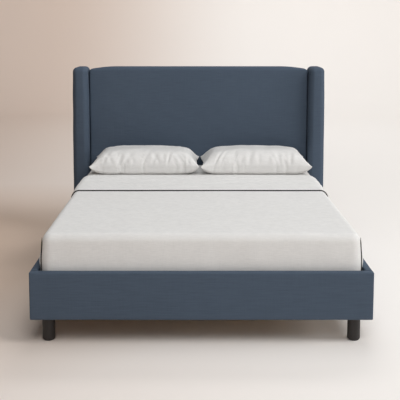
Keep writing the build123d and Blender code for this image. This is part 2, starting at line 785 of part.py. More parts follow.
centre_leg_bottom = leveller_pad_thickness + leveller_gap
centre_leg_names = ("foot", "head")
leveller_nuts = []
for place, direction in zip(centre_leg_names, (-1, 1)):
    y = direction * centre_leg_place_share * overall_length
    with BuildPart() as centre_leg:
        with BuildSketch(Plane.XY.offset(centre_leg_bottom)):
            with Locations((0, y)):
                Circle(centre_leg_diameter / 2)
        extrude(amount=beam_bottom - centre_leg_bottom)
        add(cylinder_along((0, 0, 1), (0, y, centre_leg_bottom), leveller_stud_diameter / 2 + fit_clearance,
                           leveller_stud_length + overrun), mode=Mode.SUBTRACT)
        add(cylinder_along((0, 0, 1), (0, y, centre_leg_bottom), leveller_nut_barrel / 2 + fit_clearance,
                           leveller_nut_length + fit_clearance), mode=Mode.SUBTRACT)
        add(cylinder_along((0, 0, 1), (0, y, centre_leg_bottom), leveller_nut_flange / 2 + fit_clearance,
                           leveller_nut_flange_thickness), mode=Mode.SUBTRACT)
    save(centre_leg.part, f"centre_leg_{place}")

    with BuildPart() as insert_nut:
        with BuildSketch(Plane.XY.offset(centre_leg_bottom)):
            with Locations((0, y)):
                Circle(leveller_nut_flange / 2)
        extrude(amount=leveller_nut_flange_thickness)
        with BuildSketch(Plane.XY.offset(centre_leg_bottom)):
            with Locations((0, y)):
                Circle(leveller_nut_barrel / 2)
        extrude(amount=leveller_nut_length)
        with Locations((0, y, centre_leg_bottom + leveller_nut_length)):
            Hole(leveller_stud_diameter / 2 + running_clearance)
    leveller_nuts.append(insert_nut.part)

    with BuildPart() as leveller:
        with BuildSketch():
            with Locations((0, y)):
                Circle(leveller_pad_diameter / 2)
        extrude(amount=leveller_pad_thickness)
        chamfer(leveller.edges().filter_by(GeomType.CIRCLE).sort_by(Axis.Z)[-1], leveller_pad_thickness / 2)
        with BuildSketch(Plane.XY.offset(leveller_pad_thickness)):
            with Locations((0, y)):
                Circle(leveller_stud_diameter / 2)
        extrude(amount=leveller_stud_length - leveller_pad_thickness)
    save(leveller.part, f"leveller_{place}")
save(joined(leveller_nuts), "leveller_nuts")

# Mattress: two foam layers in a quilted ticking

def mattress_envelope(growth):
    """The mattress's outside, grown on every side by growth."""
    with BuildPart() as envelope:
        with BuildSketch(Plane.XY.offset(mattress_bottom - growth)):
            with Locations((0, (mattress_front + mattress_back) / 2)):
                RectangleRounded(
                    mattress_width + 2 * growth,
                    mattress_length + 2 * growth,
                    mattress_corner_radius + growth,
                )
        extrude(amount=mattress_thickness + 2 * growth)
        caps = envelope.faces().filter_by(Axis.Z)
        fillet(caps.edges(), mattress_edge_radius + growth)
    return envelope.part


mattress_body = mattress_envelope(0)
mattress_inside = mattress_envelope(-ticking_thickness)
with BuildPart() as ticking:
    add(mattress_body)
    add(mattress_inside, mode=Mode.SUBTRACT)
save(ticking.part, "mattress_ticking")

foam_seam = mattress_top - ticking_thickness - comfort_foam_thickness
with BuildPart() as comfort_foam:
    add(mattress_inside)
    split(bisect_by=Plane.XY.offset(foam_seam), keep=Keep.TOP)
save(comfort_foam.part, "mattress_comfort_foam")
with BuildPart() as base_foam:
    add(mattress_inside)
    split(bisect_by=Plane.XY.offset(foam_seam), keep=Keep.BOTTOM)
save(base_foam.part, "mattress_base_foam")

# Sheets: a fitted sheet on the mattress, and a flat sheet whose head end is turned down over itself

sheet_hem = mattress_bottom + mattress_edge_radius
pillow_y = panel_front - pillow_head_gap - pillow_depth / 2
fold_y = pillow_y - pillow_depth / 2 - fold_to_pillows
turndown_edge = fold_y - turndown_length


def sheet_layer(under, over, low_y, high_y):
    """One layer of cloth lying between two growths of the mattress, over a stretch of its length."""
    with BuildPart() as layer:
        add(mattress_envelope(over))
        add(mattress_envelope(under), mode=Mode.SUBTRACT)
        add(
            block((-wing_outer, low_y, sheet_hem), (wing_outer, high_y, mattress_top + overrun + over)),
            mode=Mode.INTERSECT,
        )
    return layer.part


sheet_over = fitted_sheet_thickness + flat_sheet_thickness
turndown_over = sheet_over + flat_sheet_thickness
fitted_sheet = sheet_layer(0, fitted_sheet_thickness, foot_face, head_face)
save(fitted_sheet, "fitted_sheet")
with BuildPart() as flat_sheet:
    add(sheet_layer(fitted_sheet_thickness, sheet_over, foot_face, fold_y))
    add(sheet_layer(sheet_over, turndown_over, turndown_edge, fold_y))
save(flat_sheet.part, "flat_sheet")


def edge_cord(y, growth):
    """Round piping across the bed at y, down both sides to the hem."""
    half = mattress_width / 2 + growth
    top = mattress_top + growth
    bend = mattress_edge_radius + growth
    with BuildPart() as cord:
        with BuildLine() as route:
            FilletPolyline((-half, y, sheet_hem), (-half, y, top), (half, y, top), (half, y, sheet_hem), radius=bend)
        with BuildSketch(Plane(origin=(-half, y, sheet_hem), z_dir=(0, 0, 1))):
            Circle(piping_diameter / 2)
        sweep(path=route.line)
    return cord.part


piping_radius = piping_diameter / 2
piping = edge_cord(turndown_edge - piping_radius - soft_clearance, sheet_over + piping_radius + soft_clearance)
save(piping, "turndown_piping")

corner_cords = []
for _, sign in sides:
    cord_x = sign * (mattress_width / 2 + sheet_over + piping_radius + soft_clearance)
    cord_y = mattress_front + mattress_corner_radius + corner_piping_inset
    cord_top = mattress_top - mattress_edge_radius - corner_piping_top_drop
    corner_cords.append(cylinder_along((0, 0, 1), (cord_x, cord_y, sheet_hem), piping_radius, cord_top - sheet_hem))
save(joined(corner_cords), "corner_piping")

# Pillows: a plump fill in a case, with a crown, drawn-in sides and four drawn-out corners

pillow_length = (mattress_width - pillow_spacing) / 2 - pillow_end_margin
pillow_rest = mattress_top + fitted_sheet_thickness + soft_clearance
pillow_seam = pillow_rest + pillow_seam_height
arc_middle_share = 1 - 0.5 ** 0.5


def pillow_plan(centre_x, half_along, half_across, corner, drawn_in):
    """A pillow's outline at one level: four sides bowed in by drawn_in, between four round corners."""
    near_along = half_along - corner
    near_across = half_across - corner
    in_corner = corner * arc_middle_share
    side_along = half_along - drawn_in
    side_across = half_across - drawn_in
    with BuildSketch() as plan:
        with Locations((centre_x, pillow_y)):
            with BuildLine(mode=Mode.PRIVATE) as rim:
                for u, v in ((1, 1), (-1, -1)):
                    ThreePointArc((u * half_along, -v * near_across), (u * side_along, 0),
                                  (u * half_along, v * near_across))
                    ThreePointArc((u * half_along, v * near_across),
                                  (u * (half_along - in_corner), v * (half_across - in_corner)),
                                  (u * near_along, v * half_across))
                    ThreePointArc((u * near_along, v * half_across), (0, v * side_across),
                                  (-u * near_along, v * half_across))
                    ThreePointArc((-u * near_along, v * half_across),
                                  (-u * (half_along - in_corner), v * (half_across - in_corner)),
                                  (-u * half_along, v * near_across))
            add(make_face(rim.edges(), mode=Mode.PRIVATE))
    return plan.sketch


def pillow_envelope(centre_x, inset):
    """A pillow's outside, taken in by inset: its plan at each level, lofted from the underside to the crown."""
    with BuildPart() as envelope:
        for level, along, across, corner, drawn_in in zip(
            level_shares, reach_along_shares, reach_across_shares, corner_shares, drawn_in_shares
        ):
            stretch = (pillow_crown_height if level > 0 else pillow_seam_height) - inset
            with BuildSketch(Plane.XY.offset(pillow_seam + level * stretch)):
                add(pillow_plan(
                    centre_x,
                    along * pillow_length / 2 - inset,
                    across * pillow_depth / 2 - inset,
                    corner * pillow_depth / 2,
                    drawn_in * pillow_depth / 2,
                ))
        loft(ruled=True)
    return envelope.part


for side, sign in sides:
    centre_x = pillow_sideways_shift + sign * (pillow_length + pillow_spacing) / 2
    pillow_inside = pillow_envelope(centre_x, pillow_case_thickness)
    with BuildPart() as pillow_case:
        add(pillow_envelope(centre_x, 0))
        add(pillow_inside, mode=Mode.SUBTRACT)
    save(pillow_case.part, f"pillow_{side}_case")
    save(pillow_inside, f"pillow_{side}_fill")
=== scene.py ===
"""Looks of an upholstered wingback bed with its mattress, sheets and pillows, dressed round its CAD frame.

Metres, +Z up. X runs across the bed and +Y from the foot to the head, as in the CAD. Left is -X.
"""

import json
import math

import bmesh
import bpy
import numpy as np
from bpy.props import FloatProperty, FloatVectorProperty, IntProperty, PointerProperty
from bpy.types import Operator, Panel, PropertyGroup
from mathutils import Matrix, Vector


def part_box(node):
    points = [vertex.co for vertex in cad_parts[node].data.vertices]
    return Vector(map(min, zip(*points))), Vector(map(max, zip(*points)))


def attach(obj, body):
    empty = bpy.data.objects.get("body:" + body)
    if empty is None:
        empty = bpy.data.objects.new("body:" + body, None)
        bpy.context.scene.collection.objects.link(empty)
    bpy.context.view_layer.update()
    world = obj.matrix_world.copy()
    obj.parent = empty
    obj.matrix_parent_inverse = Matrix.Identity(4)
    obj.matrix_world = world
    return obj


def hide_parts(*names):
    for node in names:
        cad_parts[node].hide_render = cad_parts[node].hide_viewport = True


bl_info = {
    "name": "Wingback Bed",
    "version": (1, 0, 0),
    "blender": (4, 5, 0),
    "location": "View3D > Sidebar > Bed",
    "description": "Upholsters and makes up a wingback bed on its CAD frame",
    "category": "Object",
}

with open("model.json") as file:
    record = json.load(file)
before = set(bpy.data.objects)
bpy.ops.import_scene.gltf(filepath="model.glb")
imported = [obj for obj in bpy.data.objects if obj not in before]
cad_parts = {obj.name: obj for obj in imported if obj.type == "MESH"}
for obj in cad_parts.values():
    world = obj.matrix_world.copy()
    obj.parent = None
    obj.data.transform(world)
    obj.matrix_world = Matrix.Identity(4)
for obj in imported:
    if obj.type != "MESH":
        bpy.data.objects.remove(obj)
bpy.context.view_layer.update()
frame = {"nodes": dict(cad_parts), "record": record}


# Sizes of the CAD pieces that the upholstery and bedding follow

def node_box(name):
    """Lowest and highest corner of a CAD node as two arrays."""
    low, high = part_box(name)
    return np.array(low), np.array(high)


panel_low, panel_high = node_box("headboard_cover")
wing_low, wing_high = node_box("wing_right_cover")
rail_low, rail_high = node_box("side_rail_right_cover")
foot_low, foot_high = node_box("footboard_cover")
ticking_low, ticking_high = node_box("mattress_ticking")
dust_low, dust_high = node_box("headboard_dust_cloth")
webbing_low, webbing_high = node_box("slat_webbing")
sheet_low, sheet_high = node_box("flat_sheet")
turndown_low, turndown_high = node_box("turndown_piping")
corner_cord_low, corner_cord_high = node_box("corner_piping")
# Radii of the mattress's corners, seen from above, and of its rims
mattress_corner, mattress_edge = 0.04, 0.034
# The radius on which the upholstery's cloth turns onto a back face
back_turn = 0.0035
# Points of a piece that are closer than this are one
meeting = 1e-5


# Colour

def linear(code):
    """An sRGB hex colour as linear red, green and blue: each channel goes through the sRGB curve."""
    parts = [int(code[at:at + 2], 16) / 255 for at in (1, 3, 5)]
    return tuple(c / 12.92 if c <= 0.04045 else ((c + 0.055) / 1.055) ** 2.4 for c in parts)


def rgba(colour):
    """A colour with full opacity."""
    return (*colour[:3], 1.0)


def shade(colour, factor):
    """A colour made lighter or darker by a factor."""
    return tuple(min(1.0, c * factor) for c in colour[:3])


# Surfaces of two parameters

def smooth_step(value, start, end):
    """0 before start, 1 after end and 3t^2 - 2t^3 between them."""
    t = np.clip((value - start) / (end - start), 0, 1)
    return t * t * (3 - 2 * t)


def soft_ramp(value):
    """Rises like value from 0 and levels off at 1: t / (1 + t^4)^(1/4)."""
    t = np.maximum(value, 0)
    return t / (1 + t ** 4) ** 0.25


def ripple(points, seed, wavelength, height, grain=(1, 1, 1)):
    """Smooth random relief up to about a height: the mean of plane waves in random directions, of 0.7 to 1.6 times
    the wavelength, where grain stretches or squeezes them along X, Y and Z."""
    waves = 20
    rng = np.random.default_rng(seed)
    direction = rng.normal(size=(waves, 3))
    direction /= np.linalg.norm(direction, axis=1, keepdims=True)
    number = 2 * np.pi / wavelength / rng.uniform(0.7, 1.6, (waves, 1))
    phase = rng.uniform(0, 2 * np.pi, waves)
    total = np.sin(points * np.array(grain) @ (direction * number).T + phase).sum(axis=1)
    return height * (total / math.sqrt(waves))


def outline(corners, step, closed=True):
    """An outline through corners given as (a, b, radius), counterclockwise: straight runs sampled every step,
    joined by arcs tangent to both runs, with at least five samples a radian. Returns the points and their outward
    normals."""
    data = np.array(corners, float)
    points, radii = data[:, :2], data[:, 2]
    ahead = np.roll(points, -1, axis=0) - points
    length = np.linalg.norm(ahead, axis=1)
    ahead /= length[:, None]
    behind = np.roll(ahead, 1, axis=0)
    if not closed:
        behind[0], ahead[-1] = ahead[0], behind[-1]
    turn = np.arctan2(behind[:, 0] * ahead[:, 1] - behind[:, 1] * ahead[:, 0], (behind * ahead).sum(axis=1))
    reach = radii * np.tan(np.abs(turn) / 2)
    loop, normals = [], []
    for i in range(len(points)):
        first = np.array((behind[i, 1], -behind[i, 0]))
        rounded = radii[i] > 0 and abs(turn[i]) > 1e-6
        count = max(2, math.ceil(abs(turn[i]) * max(5, radii[i] / step)) + 1) if rounded else 1
        angle = np.linspace(0, turn[i], count) if rounded else np.array((turn[i] / 2,))
        normal = np.stack((first[0] * np.cos(angle) - first[1] * np.sin(angle),
                           first[0] * np.sin(angle) + first[1] * np.cos(angle)), axis=1)
        sign = 1 if turn[i] >= 0 else -1
        centre = points[i] - behind[i] * reach[i] - first * radii[i] * sign
        loop.append(centre + normal * radii[i] * sign if rounded else points[i][None])
        normals.append(normal)
        if closed or i < len(points) - 1:
            run = length[i] - reach[i] - reach[(i + 1) % len(points)]
            steps = max(1, math.ceil(run / step - 1e-6))
            share = np.arange(1, steps)[:, None] / steps
            loop.append(points[i] + ahead[i] * (reach[i] + run * share))
            normals.append(np.repeat(np.array((ahead[i, 1], -ahead[i, 0]))[None], steps - 1, axis=0))
    return np.concatenate(loop), np.concatenate(normals)


def quarter(inset_from, level_from, inset_to, level_to, steps):
    """Rows of a quarter ellipse from one (inset, level) to another, which bulges outwards, at even angles."""
    angle = np.linspace(0, np.pi / 2, steps + 1)[1:]
    grows = abs(inset_to) > abs(inset_from)
    along, across = (np.sin(angle), 1 - np.cos(angle)) if grows else (1 - np.cos(angle), np.sin(angle))
    return [(inset_from + (inset_to - inset_from) * b, level_from + (level_to - level_from) * a, 0)
            for a, b in zip(along, across)]


def straight(inset, level_from, level_to, step):
    """Rows at one inset from one level to another, about every step."""
    count = max(1, math.ceil(abs(level_to - level_from) / step))
    return [(inset, level, 0) for level in np.linspace(level_from, level_to, count + 1)[1:]]


def gathered(inset, level, step, reach, inward=True):
    """Rows that run from the rim to the middle of a form, or back, where gather is the share of the way in."""
    gather = np.linspace(0, 1, math.ceil(reach / step) + 1)
    rows = [(inset, level, g) for g in gather]
    return rows[1:] if inward else rows[:0:-1]


def wrapped(loop, normals, rows, order, spine=None, weight=None):
    """A form wrapped round an outline. With the outline L, its normals N and its middle line S, each row
    (inset, level, gather) gives (L - weight * inset * N) * (1 - gather) + S * gather at that level.
    order says which axes the outline's two axes and the level are."""
    inset, level, gather = np.array(rows).T[:, :, None, None]
    weight = np.ones(len(loop)) if weight is None else weight
    flat = loop - inset * weight[:, None] * normals
    if spine is not None:
        flat = flat * (1 - gather) + spine * gather
    points = np.empty((len(rows), len(loop), 3))
    points[:, :, order[0]], points[:, :, order[1]] = flat[:, :, 0], flat[:, :, 1]
    points[:, :, order[2]] = level[:, :, 0]
    return points


def on_lattice(spine, pitch=0.03):
    """Middle-line points moved to an even spacing, so that the columns from both sides meet in the same ones."""
    return np.round(spine / pitch) * pitch


def level_middle(loop, level):
    """The flat middle of a form with rounded corners: a grid of the outline's own straight-run samples, which the
    rows meet when their inset reaches the corner radius."""
    low = loop.min(axis=0)
    x = np.sort(loop[np.isclose(loop[:, 1], low[1]), 0])
    y = np.sort(loop[np.isclose(loop[:, 0], low[0]), 1])
    across, along = np.meshgrid(x, y)
    return np.stack((across, along, np.full(across.shape, level)), axis=-1)


def faces_of(points, closed):
    """Four-sided faces of a grid of points."""
    rows, columns = points.shape[:2]
    index = np.arange(rows * columns).reshape(rows, columns)
    if closed:
        index = np.concatenate((index, index[:, :1]), axis=1)
    return np.stack((index[:-1, :-1], index[:-1, 1:], index[1:, 1:], index[1:, :-1]), axis=-1).reshape(-1, 4)


def faced(points, faces, centre):
    """Faces turned, all alike, so that most of their area faces away from a centre."""
    corner = points.reshape(-1, 3)[faces]
    normal = np.cross(corner[:, 2] - corner[:, 0], corner[:, 3] - corner[:, 1])
    outward = (normal * (corner.mean(axis=1) - centre)).sum()
    return faces if outward > 0 else faces[:, ::-1]


def new_piece(name, grids, centre=None):
    """One smooth mesh object from grids of points, each given with whether its columns close on themselves. Points
    that meet become one. Faces are turned away from centre, or from each grid's own middle."""
    vertices, faces, start = [], [], 0
    for points, closed in grids:
        middle = points.reshape(-1, 3).mean(axis=0) if centre is None else np.array(centre)
        vertices.append(points.reshape(-1, 3))
        faces.append(faced(points, faces_of(points, closed), middle) + start)
        start += points.shape[0] * points.shape[1]
    mesh = bpy.data.meshes.new(name)
    mesh.from_pydata(np.concatenate(vertices).tolist(), [], np.concatenate(faces).tolist())
    piece = bpy.data.objects.new(name, mesh)
    bpy.context.scene.collection.objects.link(piece)
    shape = bmesh.new()
    shape.from_mesh(mesh)
    bmesh.ops.remove_doubles(shape, verts=shape.verts, dist=meeting)
    shape.to_mesh(mesh)
    shape.free()
    mesh.polygons.foreach_set("use_smooth", np.ones(len(mesh.polygons), bool))
    mesh.update()
    return piece


def points_of(mesh):
    """A mesh's vertices as an array."""
    points = np.empty(len(mesh.vertices) * 3)
    mesh.vertices.foreach_get("co", points)
    return points.reshape(-1, 3)


def set_points(mesh, points):
    """Writes an array of vertices back."""
    mesh.vertices.foreach_set("co", np.asarray(points, float).ravel())
    mesh.update()


def normals_of(mesh):
    """A mesh's vertex normals as an array."""
    normals = np.empty(len(mesh.vertices) * 3)
    mesh.vertex_normals.foreach_get("vector", normals)
    return normals.reshape(-1, 3)


def relief(piece, height):
    """Moves each vertex along its normal by height, a function of the points and normals."""
    points, normals = points_of(piece.data), normals_of(piece.data)
    set_points(piece.data, points + normals * np.asarray(height(points, normals))[:, None])


def wall(piece, thickness):
    """Gives an open surface its thickness, inwards from the face that shows."""
    solid = piece.modifiers.new("Wall", "SOLIDIFY")
    solid.thickness, solid.offset = thickness, -1


def finished(piece, body, slot, material, *nodes):
    """Gives a piece its material, lets it ride on its body and hides the CAD nodes it stands for. Its slot is not
    used.
    """
    piece.data.materials.append(material)
    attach(piece, body)
    if nodes:
        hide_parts(*nodes)


def tube(path, radius, sides=12):
    """A round cord along a path: each ring stands square to the path's tangent, and its ends are closed."""
    tangent = np.gradient(path, axis=0)
    tangent /= np.linalg.norm(tangent, axis=1, keepdims=True)
    steady = np.where(np.abs(tangent[:, 1:2]) > 0.9, np.array((1.0, 0, 0)), np.array((0, 1.0, 0)))
    side = np.cross(tangent, steady)
    side /= np.linalg.norm(side, axis=1, keepdims=True)
    other = np.cross(tangent, side)
    angle = np.linspace(0, 2 * np.pi, sides, endpoint=False)[None, :, None]
    body = path[:, None] + (side[:, None] * np.cos(angle) + other[:, None] * np.sin(angle)) * radius
    ends = (np.repeat(path[:1, None], sides, axis=1), np.repeat(path[-1:, None], sides, axis=1))
    return np.concatenate((ends[0], body, ends[1]))


# Materials

def add_node(tree, kind, values=None, links=None, **settings):
    """Adds a node, sets its properties and its sockets' values, and links its inputs."""
    made = tree.nodes.new(kind)
    for key, value in settings.items():
        setattr(made, key, value)
    for key, value in (values or {}).items():
        made.inputs[key].default_value = value
    for key, source in (links or {}).items():
        tree.links.new(source, made.inputs[key])
    return made


def new_material(name):
    """An empty material, its node tree and Object coordinates in it."""
    material = bpy.data.materials.get(name) or bpy.data.materials.new(name)
    material.use_nodes = True
    material.node_tree.nodes.clear()
    return material, material.node_tree, add_node(material.node_tree, "ShaderNodeTexCoord").outputs["Object"]


def surfaced(tree, tint, height, strength, depth, values, links=None):
    """Ends a material: a principled surface with a tint and these sockets, bumped by a height."""
    bump = add_node(tree, "ShaderNodeBump", {"Strength": strength, "Distance": depth}, {"Height": height})
    surface = add_node(tree, "ShaderNodeBsdfPrincipled", values,
                       {"Base Color": tint, "Normal": bump.outputs["Normal"], **(links or {})})
    add_node(tree, "ShaderNodeOutputMaterial", links={"Surface": surface.outputs[0]})


def noise(tree, coordinate, scale, detail=2.0, roughness=0.5):
    """A noise field's value over coordinates stretched by a scale along each axis."""
    stretched = add_node(tree, "ShaderNodeMapping", {"Scale": scale}, {"Vector": coordinate}).outputs["Vector"]
    made = add_node(tree, "ShaderNodeTexNoise", {"Scale": 1.0, "Detail": detail, "Roughness": roughness},
                    {"Vector": stretched})
    return made.outputs["Fac"]


def blend_of(tree, first, second, share):
    """first * (1 - share) + second * share for two values, with share a number."""
    made = add_node(tree, "ShaderNodeMix", {"Factor": share}, {"A": first, "B": second}, data_type="FLOAT")
    return made.outputs["Result"]


def ramp(tree, value, stops):
    """A colour ramp with its stops as (place, colour)."""
    made = add_node(tree, "ShaderNodeValToRGB", links={"Fac": value})
    elements = made.color_ramp.elements
    for index, (place, colour) in enumerate(stops):
        stop = elements[index] if index < len(elements) else elements.new(place)
        stop.position, stop.color = place, rgba(colour)
    return made.outputs["Color"]


def woven_cloth(name, colour, thread, slub, contrast, roughness, sheen, depth, warp_share=0.3, blotch=0.45):
    """Plain-woven cloth. Weft threads lie level and warp threads upright, each a noise stretched along the thread:
    thread is their spacing and slub the length of a thick place, in metres. The thick places are lighter, and the
    bump follows both. A broad noise, blotch across, keeps a large face from being one flat colour."""
    material, tree, at = new_material(name)
    weft = noise(tree, at, (1 / slub, 1 / slub, 0.5 / thread), 3, 0.55)
    warp = noise(tree, at, (0.5 / thread, 0.5 / thread, 0.7 / slub), 2, 0.5)
    broad = noise(tree, at, (1 / blotch,) * 3, 2, 0.5)
    threads = blend_of(tree, weft, warp, warp_share)
    tone = blend_of(tree, threads, broad, 0.2)
    tint = ramp(tree, tone, ((0.32, shade(colour, 1 - contrast)), (0.5, colour), (0.7, shade(colour, 1 + contrast))))
    surfaced(tree, tint, threads, 0.55, depth, {
        "Roughness": roughness, "Sheen Weight": sheen, "Sheen Roughness": 0.45,
        "Sheen Tint": rgba(shade(colour, 1.6)), "Specular IOR Level": 0.2, "IOR": 1.5,
    })
    return material


def timber(name, colour, grain_axis, ring=0.012, contrast=0.28, roughness=0.62, coat=0.0):
    """Sawn wood. Growth rings are a noise squeezed across the grain and stretched along it, and pores are a finer
    one: the eye sees long light and dark figures with short dark flecks."""
    material, tree, at = new_material(name)
    figure_scale = [1 / ring] * 3
    pore_scale = [1400.0] * 3
    figure_scale[grain_axis], pore_scale[grain_axis] = 1.6, 45.0
    figure = noise(tree, at, figure_scale, 4, 0.6)
    pore = noise(tree, at, pore_scale, 1, 0.5)
    tone = blend_of(tree, figure, pore, 0.25)
    tint = ramp(tree, tone, ((0.34, shade(colour, 1 - contrast)), (0.52, colour), (0.7, shade(colour, 1.16))))
    surfaced(tree, tint, pore, 0.3, 0.0003,
             {"Roughness": roughness, "IOR": 1.5, "Coat Weight": coat, "Coat Roughness": 0.35})
    return material


def metal(name, colour, grain, roughness, metallic, depth):
    """Plated or powder-coated steel. A fine noise sets small changes of tone and roughness: crystals a few
    millimetres wide in zinc, or the pebble of a powder coat."""
    material, tree, at = new_material(name)
    fleck = noise(tree, at, (1 / grain,) * 3, 3, 0.6)
    tint = ramp(tree, fleck, ((0.35, shade(colour, 0.82)), (0.65, shade(colour, 1.12))))
    rough = add_node(tree, "ShaderNodeMapRange", {"To Min": roughness - 0.08, "To Max": roughness + 0.1},
                     {"Value": fleck}).outputs["Result"]
    surfaced(tree, tint, fleck, 0.25, depth, {"Metallic": metallic}, {"Roughness": rough})
    return material


def foam(name, colour, cell):
    """Open-cell foam: a cell pattern about 2 mm wide, drawn coarser than the real 0.5 mm so that it shows."""
    material, tree, at = new_material(name)
    cells = add_node(tree, "ShaderNodeTexVoronoi", {"Scale": 1 / cell}, {"Vector": at}).outputs["Distance"]
    # The cells' hollows are painted darker: painted shade
    tint = ramp(tree, cells, ((0.1, shade(colour, 0.72)), (0.6, colour)))
    surfaced(tree, tint, cells, 0.5, 0.0008, {"Roughness": 0.95})
    return material


def quilted_ticking(name, colour, quilt):
    """Mattress ticking: a knitted cotton stitched in a diamond quilt, two waves at right angles, over a fine knit."""
    material, tree, at = new_material(name)
    # At a scale of 1 the bands of a wave texture are this far apart
    band = 0.314
    waves = []
    for turn in (45, 135):
        turned = add_node(tree, "ShaderNodeMapping", {"Rotation": (0, 0, math.radians(turn))}, {"Vector": at})
        wave = add_node(tree, "ShaderNodeTexWave", {"Scale": band / quilt}, {"Vector": turned.outputs["Vector"]})
        waves.append(wave.outputs["Fac"])
    puffs = add_node(tree, "ShaderNodeMath", links={0: waves[0], 1: waves[1]}, operation="MULTIPLY").outputs[0]
    knit = noise(tree, at, (700, 700, 700), 2, 0.5)
    height = blend_of(tree, puffs, knit, 0.15)
    # The hollows along the quilt's stitching are painted darker: painted shade
    tint = ramp(tree, height, ((0.0, shade(colour, 0.8)), (0.35, colour)))
    surfaced(tree, tint, height, 0.6, 0.003, {"Roughness": 0.88, "Sheen Weight": 0.1})
    return material


def moulded(name, colour, roughness, pebble):
    """Moulded plastic with the faint texture of its mould."""
    material, tree, at = new_material(name)
    grain = noise(tree, at, (1 / pebble,) * 3, 2, 0.5)
    tint = ramp(tree, grain, ((0.3, shade(colour, 0.85)), (0.7, shade(colour, 1.15))))
    surfaced(tree, tint, grain, 0.2, 0.0002, {"Roughness": roughness, "IOR": 1.54})
    return material


def tint_of(name, description, code):
    """A colour property with its default as a hex colour."""
    return FloatVectorProperty(name=name, description=description, subtype="COLOR", size=3, min=0, max=1,
                               default=linear(code))


def length_of(name, description, default, low, high):
    """A length property with its default and its range in metres."""
    return FloatProperty(name=name, description=description, default=default, min=low, max=high, unit="LENGTH")


class BedColours(PropertyGroup):
    """Colours that a user would change."""

    slate: tint_of("Slate linen", "Upholstery cloth", "#4b5766")
    linen: tint_of("White linen", "Sheets and pillow cases", "#e1e0de")
    piping: tint_of("Piping", "Dark cord on the sheet", "#35322f")
    leg: tint_of("Legs", "Black paint of the legs", "#272220")
    pine: tint_of("Pine", "Sawn timber of the frame", "#c9a77a")
    floor: tint_of("Floor", "Pale studio floor", "#f6f2ee")
    # Painted shade: the floor's colour on the side away from the light
    shaded_floor: tint_of("Shaded floor", "Floor on the side away from the light", "#dbcabe")


class BedSizes(PropertyGroup):
    """Sizes that a user would change."""

    grid_step: length_of("Grid step", "Spacing of the cloth's grid", 0.012, 0.004, 0.05)
    panel_crown: length_of("Panel crown", "How far the headboard's face swells", 0.004, 0, 0.02)
    wing_crown: length_of("Wing crown", "How far a wing's faces swell", 0.0025, 0, 0.01)
    cloth_wall: length_of("Cloth thickness", "Thickness of the upholstery cloth", 0.002, 0.0005, 0.005)
    sheet_wall: length_of("Sheet thickness", "Thickness of the sheets", 0.0012, 0.0003, 0.004)
    sheet_flare: length_of("Sheet flare", "How far the sheet's sides stand out past its foot", 0.02, 0, 0.024)
    pillow_pressure: FloatProperty(name="Pillow pressure", description="Pressure that fills the pillows",
                                   default=4.0, min=0.5, max=20)
    pillow_frames: IntProperty(name="Pillow frames", description="Steps of the pillow simulation", default=20,
                               min=5, max=60)
    pillow_plumpness: FloatProperty(name="Pillow plumpness", description="Share of the simulated form in a pillow",
                                    default=0.4, min=0, max=1, subtype="FACTOR")


def sizes():
    """The scene's sizes."""
    return bpy.context.scene.bed_sizes


def colours():
    """The scene's colours."""
    return bpy.context.scene.bed_colours


def slate_linen():
    """Linen-look polyester, woven and matt: threads 0.8 mm apart, drawn 2.4 mm apart so that they show, with
    slubs about 90 mm long. The eye sees a quiet level streak and a soft light at grazing angles."""
    return woven_cloth("slate_linen_upholstery", tuple(colours().slate), thread=0.0024, slub=0.09, contrast=0.12,
                       roughness=0.92, sheen=0.1, depth=0.0005, warp_share=0.25)


def white_linen():
    """Washed linen sheeting: threads 0.5 mm apart, drawn 1.8 mm apart, with short slubs. The eye sees a soft
    off-white with a fine dry tooth."""
    return woven_cloth("washed_linen_sheeting", tuple(colours().linen), thread=0.0018, slub=0.03, contrast=0.06,
                       roughness=0.9, sheen=0.1, depth=0.0004, blotch=0.09)


def dark_piping():
    """Cotton piping cord in a bias strip: near black, matt, with a twist about 3 mm long."""
    return woven_cloth("cotton_bias_piping", tuple(colours().piping), thread=0.0012, slub=0.004, contrast=0.3,
                       roughness=0.9, sheen=0.05, depth=0.0004)


def nonwoven_cloth():
    """Spun-bonded dust cloth, black, with a pressed dimple every 3 mm."""
    return woven_cloth("spunbonded_dust_cloth", linear("#1d1d1f"), thread=0.0015, slub=0.003, contrast=0.35,
                       roughness=0.95, sheen=0.0, depth=0.0003)


# Operators: hardware and timber that keep their CAD shape

